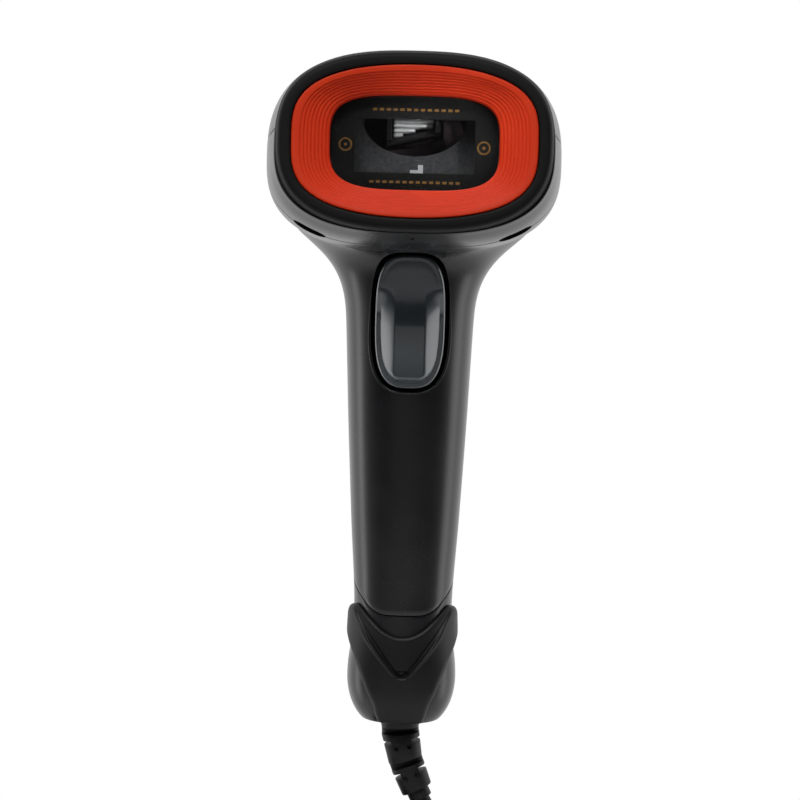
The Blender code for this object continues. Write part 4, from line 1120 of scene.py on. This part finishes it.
def tube_mesh(route, radii, sides=16, closed=False):
    """A tube through the points of route, with a radius at each."""
    bm = bmesh.new()
    rings = []
    count = len(route)
    normal = None
    for i, (point, radius) in enumerate(zip(route, radii)):
        ahead = route[(i + 1) % count] if closed or i < count - 1 else route[i]
        behind = route[i - 1] if closed or i else route[i]
        along = (ahead - behind).normalized()
        if normal is None:
            normal = along.orthogonal()
        normal = (normal - along * normal.dot(along)).normalized()
        side = along.cross(normal)
        ring = []
        for angle in turns(sides):
            offset = normal * math.cos(angle) + side * math.sin(angle)
            ring.append(bm.verts.new(point + radius * offset))
        rings.append(ring)
    if closed:  # the last ring meets the first with the least twist
        first, last = rings[0], rings[-1]
        shift = min(range(sides), key=lambda k: (last[k].co - first[0].co).length)
        bridge(bm, rings)
        for k in range(sides):
            a, b = last[(k + shift) % sides], last[(k + shift + 1) % sides]
            bm.faces.new((a, b, first[(k + 1) % sides], first[k]))
    else:
        bridge(bm, rings, ends=True)
    return finished(bm)


def smooth_route(route, count):
    """Catmull-Rom points through route, count to each stretch."""
    points = [Vector(p) for p in route]
    ends = [2 * points[0] - points[1], *points, 2 * points[-1] - points[-2]]
    made = []
    for a, b, c, d in zip(ends, ends[1:], ends[2:], ends[3:]):
        for i in range(count):
            t = i / count
            curve = 2 * b + (c - a) * t + (2 * a - 5 * b + 4 * c - d) * t**2
            curve += (3 * b - 3 * c + d - a) * t**3
            made.append(0.5 * curve)
    return [*made, points[-1]]


# Route of the strain relief, the lead's first stretch and its end, in millimetres
RELIEF_ROUTE = (
    (0, 8.4, -47.9), (0, 10.2, -58.2), (0.4, 10.8, -62.7), (1.3, 11.2, -66.6),
    (2.7, 11.5, -70.5), (4.2, 11.7, -74.0), (5.7, 11.8, -77.0),
)
LEAD_ROUTE = ((5.85, 11.8, -77.3), (7.0, 11.9, -79.2), (8.1, 12.0, -81.0))
END_ROUTE = (
    (14.0, 1.5, -109.5), (14.0, 1.3, -112.0), (14.0, 0.3, -115.5),
    (14.0, -0.6, -118.5), (14.0, -0.9, -121.7),
)

LAYER_RADII = (27.0, 22.8, 18.6)  # of the coil, in millimetres, from the outside in
COLUMN_PITCH = 4.15
COLUMNS_OF_TURNS = 4
START_ANGLE, END_ANGLE = 53, 90  # clockwise from the top, as seen from the front
CHANGE_LENGTH = 30  # degrees over which a turn moves to its next place


def coil_route():
    """The turns of the coil, in order: three layers from the outside in, each of four columns. A turn
    moves to its next place over a short arc, and each layer does so at an angle of its own."""
    places = []
    for layer in range(len(LAYER_RADII)):
        order = range(COLUMNS_OF_TURNS)
        places += [(layer, column) for column in (order if layer % 2 else reversed(order))]
    changes = []
    for i, ((layer, column), (next_layer, next_column)) in enumerate(zip(places, places[1:])):
        zone = -43 - 60 * layer - (30 if next_layer != layer else 0)
        step_in = LAYER_RADII[next_layer] - LAYER_RADII[layer]
        changes.append((zone + 360 * (i + 1), step_in, (next_column - column) * COLUMN_PITCH))
    last_turn = len(places) - 1
    end = END_ANGLE + 360 * last_turn
    first_column = places[0][1] - (COLUMNS_OF_TURNS - 1) / 2
    route = []
    angle = START_ANGLE
    while angle <= end + 0.1:
        radius, y = LAYER_RADII[0], first_column * COLUMN_PITCH
        y *= ease((angle - START_ANGLE) / 60 + 0.3)
        for start, step_in, step_across in changes:
            share = ease((angle - start) / CHANGE_LENGTH)
            radius += step_in * share
            y += step_across * share
        front = ease((angle - (end - 60)) / 60)
        y += (END_ROUTE[0][1] - COIL_CENTRE.y / MM - y) * front
        a = math.radians(angle)
        route.append(COIL_CENTRE / MM + Vector((radius * math.sin(a), y, radius * math.cos(a))))
        angle += 10
    return route


def cable():
    """The whole free lead as one curve: out of the strain relief, round the coil and down to the plug."""
    start = smooth_route([RELIEF_ROUTE[-2], RELIEF_ROUTE[-1], *LEAD_ROUTE[1:]], 3)[2:]
    turns = coil_route()
    join = smooth_route([start[-2], start[-1], turns[0], turns[1]], 4)[4:9]
    end = smooth_route([turns[-1], *END_ROUTE[1:]], 3)
    route = [*start[:-1], *join[:-1], *turns[:-1], *end]
    curve = bpy.data.curves.new("cable", "CURVE")
    curve.dimensions = "3D"
    curve.bevel_depth = CABLE_RADIUS
    curve.bevel_resolution = 5
    curve.use_fill_caps = True
    spline = curve.splines.new("POLY")
    spline.points.add(len(route) - 1)
    for point, place in zip(spline.points, route):
        point.co = (*(place * MM), 1)
    spline.use_smooth = True
    curve.materials.append(FINISH["cable_black"])
    made = add_object("cable", curve)
    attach(made, "housing")
    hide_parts("cable_lead", "cable_coil", "cable_end")
    return made


def strain_relief():
    """A segmented sleeve: slots across its front and back, notches in its sides between them, and small
    pits in the front of each chunk."""
    route = smooth_route(RELIEF_ROUTE, 12)
    lengths = [0.0]
    for a, b in zip(route, route[1:]):
        lengths.append(lengths[-1] + (b - a).length)
    total = lengths[-1]
    radius_at = monotone([(0, 4.6), (13, 4.6), (17, 4.3), (23, 4.05), (26, 3.85), (total, 3.8)])
    front_slots, side_notches, half_slot, half_notch = (12.1, 20.6), (15.0, 23.0), 0.7, 0.65

    def at(length):
        i = max(1, min(len(route) - 1, bisect_right(lengths, length)))
        t = (length - lengths[i - 1]) / (lengths[i] - lengths[i - 1])
        return route[i - 1].lerp(route[i], t)

    def frame_at(length):
        along = (at(min(length + 0.5, total)) - at(max(length - 0.5, 0))).normalized()
        side = along.cross(Vector((0, -1, 0))).normalized()
        return at(length), along, side, side.cross(along)

    bm = bmesh.new()

    def lump(start, end, width, depth, edge):
        """A rounded chunk between two lengths, with its half width and depth as shares of the radius."""
        profile = ((0, -edge), (0.3 * edge, -0.3 * edge), (edge, 0))
        levels = [(start + a, b) for a, b in profile] + [(end - a, b) for a, b in reversed(profile)]
        rings = []
        for length, inset in levels:
            centre, _, side, up = frame_at(length)
            ring = []
            for angle in turns(48):
                flat = (abs(math.cos(angle)) ** 2.6 + abs(math.sin(angle)) ** 2.6) ** (-1 / 2.6)
                reach = (radius_at(length) + inset) * flat
                offset = side * math.cos(angle) * reach * width + up * math.sin(angle) * reach * depth
                ring.append(bm.verts.new((centre + offset) * MM))
            rings.append(ring)
        bridge(bm, rings, ends=True)

    edges = [-half_slot, *front_slots, total - 2.6 + half_slot]
    for start, end in zip(edges, edges[1:]):
        lump(start + half_slot, end - half_slot, 1, 1, 0.35)
    sleeve = finished(bm, sharp=40)
    bm = bmesh.new()
    for length in front_slots:
        lump(length - 1.2, length + 1.2, 0.98, 0.5, 0.05)
    lump(total - 3.2, total - 0.2, 0.72, 0.72, 0.3)
    fixed("strain_relief_webs", finished(bm, sharp=40), "cable_black")
    cutters = []
    for length in side_notches:
        centre, along, side, up = frame_at(length)
        turn = Matrix((side, along, up)).transposed().to_4x4()
        for way in (-1, 1):
            low, high = sorted((way * 0.56 * radius_at(length), way * 7))
            notch = block((low, -half_notch, -7), (high, half_notch, 7))
            cutters.append((notch, Matrix.Translation(centre * MM) @ turn))
    for length, across in ((16.1, -1.7), (16.1, 1.5), (23.9, -1.5), (23.9, 1.5)):
        centre, along, side, up = frame_at(length)
        front = up if up.y < 0 else -up
        place = centre + side * across + front * (radius_at(length) - 0.2)
        turn = Matrix((side, along, front)).transposed().to_4x4()
        pit = block((-0.5, -0.65, -0.7), (0.5, 0.65, 2), 0.3, 2)
        cutters.append((pit, Matrix.Translation(place * MM) @ turn))
    fixed("strain_relief_sleeve", carved(sleeve, cutters, sharp=40), "cable_black", "strain_relief")


def cable_tie():
    """A hook-and-loop strap round the bundle."""
    direction = math.radians(-28)
    out = Vector((math.sin(direction), 0, math.cos(direction)))
    side = Vector((math.cos(direction), 0, -math.sin(direction)))
    low, high = 15.4, 29.6
    half, half_length = 8.8, 4
    middle = (low + high) / 2
    bm = bmesh.new()
    rings = []
    for along, grow in ((-1, 0), (-1, 0.9), (-0.93, 1.1), (0.93, 1.1), (1, 0.9), (1, 0)):
        ring = []
        for angle in turns(96):
            across = abs(math.sin(angle)) / (half + grow)
            up = abs(math.cos(angle)) / ((high - low) / 2 + grow)
            reach = (across**7 + up**7) ** (-1 / 7)
            offset = out * (middle + reach * math.cos(angle)) + side * along * half_length
            place = COIL_CENTRE + offset * MM
            ring.append(bm.verts.new(place + Vector((0, reach * math.sin(angle) * MM, 0))))
        rings.append(ring)
    bridge(bm, rings, closed=True)
    return fixed("cable_strap", finished(bm, sharp=50), "strap", "cable_tie", slot="foam_black")


def usb_plug():
    low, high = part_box("usb_body")
    x, y = (low.x + high.x) / 2 / MM, (low.y + high.y) / 2 / MM
    top, bottom = high.z / MM, low.z / MM
    body = block((x - 7.6, y - 3.8, bottom), (x + 7.6, y + 3.8, top - 5), 1.1, 5)
    grooves = []
    for i in range(5):
        z = top - 9 - 2.2 * i
        for side in (-1, 1):
            a, b = sorted((side * 3.55, side * 5))
            grooves.append(block((x - 5, y + a, z - 0.45), (x + 5, y + b, z + 0.45), 0.15, 2))
    neck = rod((x, y, top), (x, y, top - 7), 3.3, 40)
    body = carved(carved(body, here(neck), "UNION"), here(*grooves))
    plug = fixed("usb_plug_body", body, "cable_black", "usb_body")
    low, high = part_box("usb_shell")
    x0, x1, y0, y1 = low.x / MM, high.x / MM, low.y / MM, high.y / MM
    z0, z1 = low.z / MM, high.z / MM
    case = block((x0, y0, z0), (x1, y1, z1), 0.45, 3)
    wall = 0.35
    cuts = [block((x0 + wall, y0 + wall, z0 - 1), (x1 - wall, y1 - wall, z1 - 0.6), 0.2, 2)]
    for side in (-1, 1):
        middle = (x0 + x1) / 2 + side * 2.9
        for depth in (y0, y1):
            cuts.append(block((middle - 1.15, depth - 1, z0 + 5.6), (middle + 1.15, depth + 1, z0 + 7.9)))
    case = fixed("usb_plug_case", carved(case, here(*cuts)), "steel", "usb_shell")
    low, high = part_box("usb_tongue")
    contacts = bmesh.new()
    for i in range(4):
        middle = (low.x + high.x) / 2 + (i - 1.5) * 2.4 * MM
        long = 8.0 if i in (0, 3) else 7.2
        corner = Vector((middle, low.y - 0.06 * MM, low.z + 0.4 * MM))
        bmesh.ops.create_cube(
            contacts,
            size=1,
            matrix=Matrix.Translation(corner + Vector((0, 0.04 * MM, long / 2 * MM)))
            @ Matrix.Diagonal((1.1 * MM, 0.1 * MM, long * MM, 1)),
        )
    contacts = fixed("usb_contacts", finished(contacts), "gold_print", slot="brass")
    return [plug, case, contacts]


# Scan engine


def drive_coil():
    """The winding: layers of bright wire between the bobbin's cheeks, cut off by the sloping flange."""
    low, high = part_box("drive_coil")
    x0, x1 = low.x / MM, high.x / MM
    y0, y1 = low.y / MM, high.y / MM
    top = high.z / MM
    slope_left, slope_right = low.z / MM + 0.15, low.z / MM + 2.6
    wires, wire_share, corner = 7, 0.43, 0.6
    pitch = (top - slope_left) / wires
    bm = bmesh.new()
    for i in range(wires):
        z = top - pitch * (i + 0.5)
        left = x0 + (0.3 if z - pitch / 2 < slope_left else 0)
        reach = (z - pitch / 2 - slope_left) / (slope_right - slope_left)
        right = min(x1, x0 + max(0.25, reach + 0.12) * (x1 - x0))
        rings = []
        for angle in turns(12):
            out, up = wire_share * pitch * math.cos(angle), wire_share * pitch * math.sin(angle)
            a, b, c, d = left + 0.5 - out, right - 0.5 + out, y0 + 0.5 - out, y1 - 0.5 + out
            ring = []
            for cx, cy, turn in ((b, d, 0), (a, d, 90), (a, c, 180), (b, c, 270)):
                for j in range(5):
                    t = math.radians(turn + 90 * j / 4)
                    inset_x = cx - corner * (1 if cx == b else -1)
                    inset_y = cy - corner * (1 if cy == d else -1)
                    px, py = inset_x + corner * math.cos(t), inset_y + corner * math.sin(t)
                    ring.append(bm.verts.new((px * MM, py * MM, (z + up) * MM)))
            rings.append(ring)
        bridge(bm, rings, closed=True)
    fixed("drive_coil_winding", finished(bm, sharp=60), "winding_silver", "drive_coil")


def light_pipe():
    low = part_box("status_light_pipe")[0]
    start = (HANDLE.inverted() @ Vector((0, 6 * MM, low.z))).z + 1.2 * MM
    mesh = indicator_mesh(0, start, 0, follow=True)
    fixed("status_window", mesh, "lens_clear", "status_light_pipe", place=HANDLE)


# The window mask's black is its print. The bobbin's near-black is painted shade between the wires in front
# of it.
DARK_PRINT_AND_PAINTED_SHADE = {"window_mask": "print_black", "coil_bobbin": "rim_black"}


def dress_cad_nodes():
    """Every CAD node that still shows gets its slot's material, or a darker stand-in: black print on the
    window mask, and near-black on the bobbin as painted shade between the winding's wires.
    """
    slots = {part["node"]: part["material_slot"] for part in frame["record"]["subparts"]}
    for name, node in frame["nodes"].items():
        node.data.materials.clear()
        node.data.materials.append(FINISH[DARK_PRINT_AND_PAINTED_SHADE.get(name, slots[name])])
        for polygon in node.data.polygons:
            polygon.material_index = 0
        node.data.shade_smooth()
        node.data.set_sharp_from_angle(angle=math.radians(35))


set_camera()
FINISH = make_materials()
the_cable = cable()
strain_relief()
tie = cable_tie()
usb_pieces = usb_plug()
rear_housing()
chin_shell()
grip_front()
tail_cup()
tail_cap()
nose_bumper()
trim_ring()
window_print()
trigger()
drive_coil()
light_pipe()
dress_cad_nodes()
set_light()
set_floor()

bpy.context.view_layer.update()
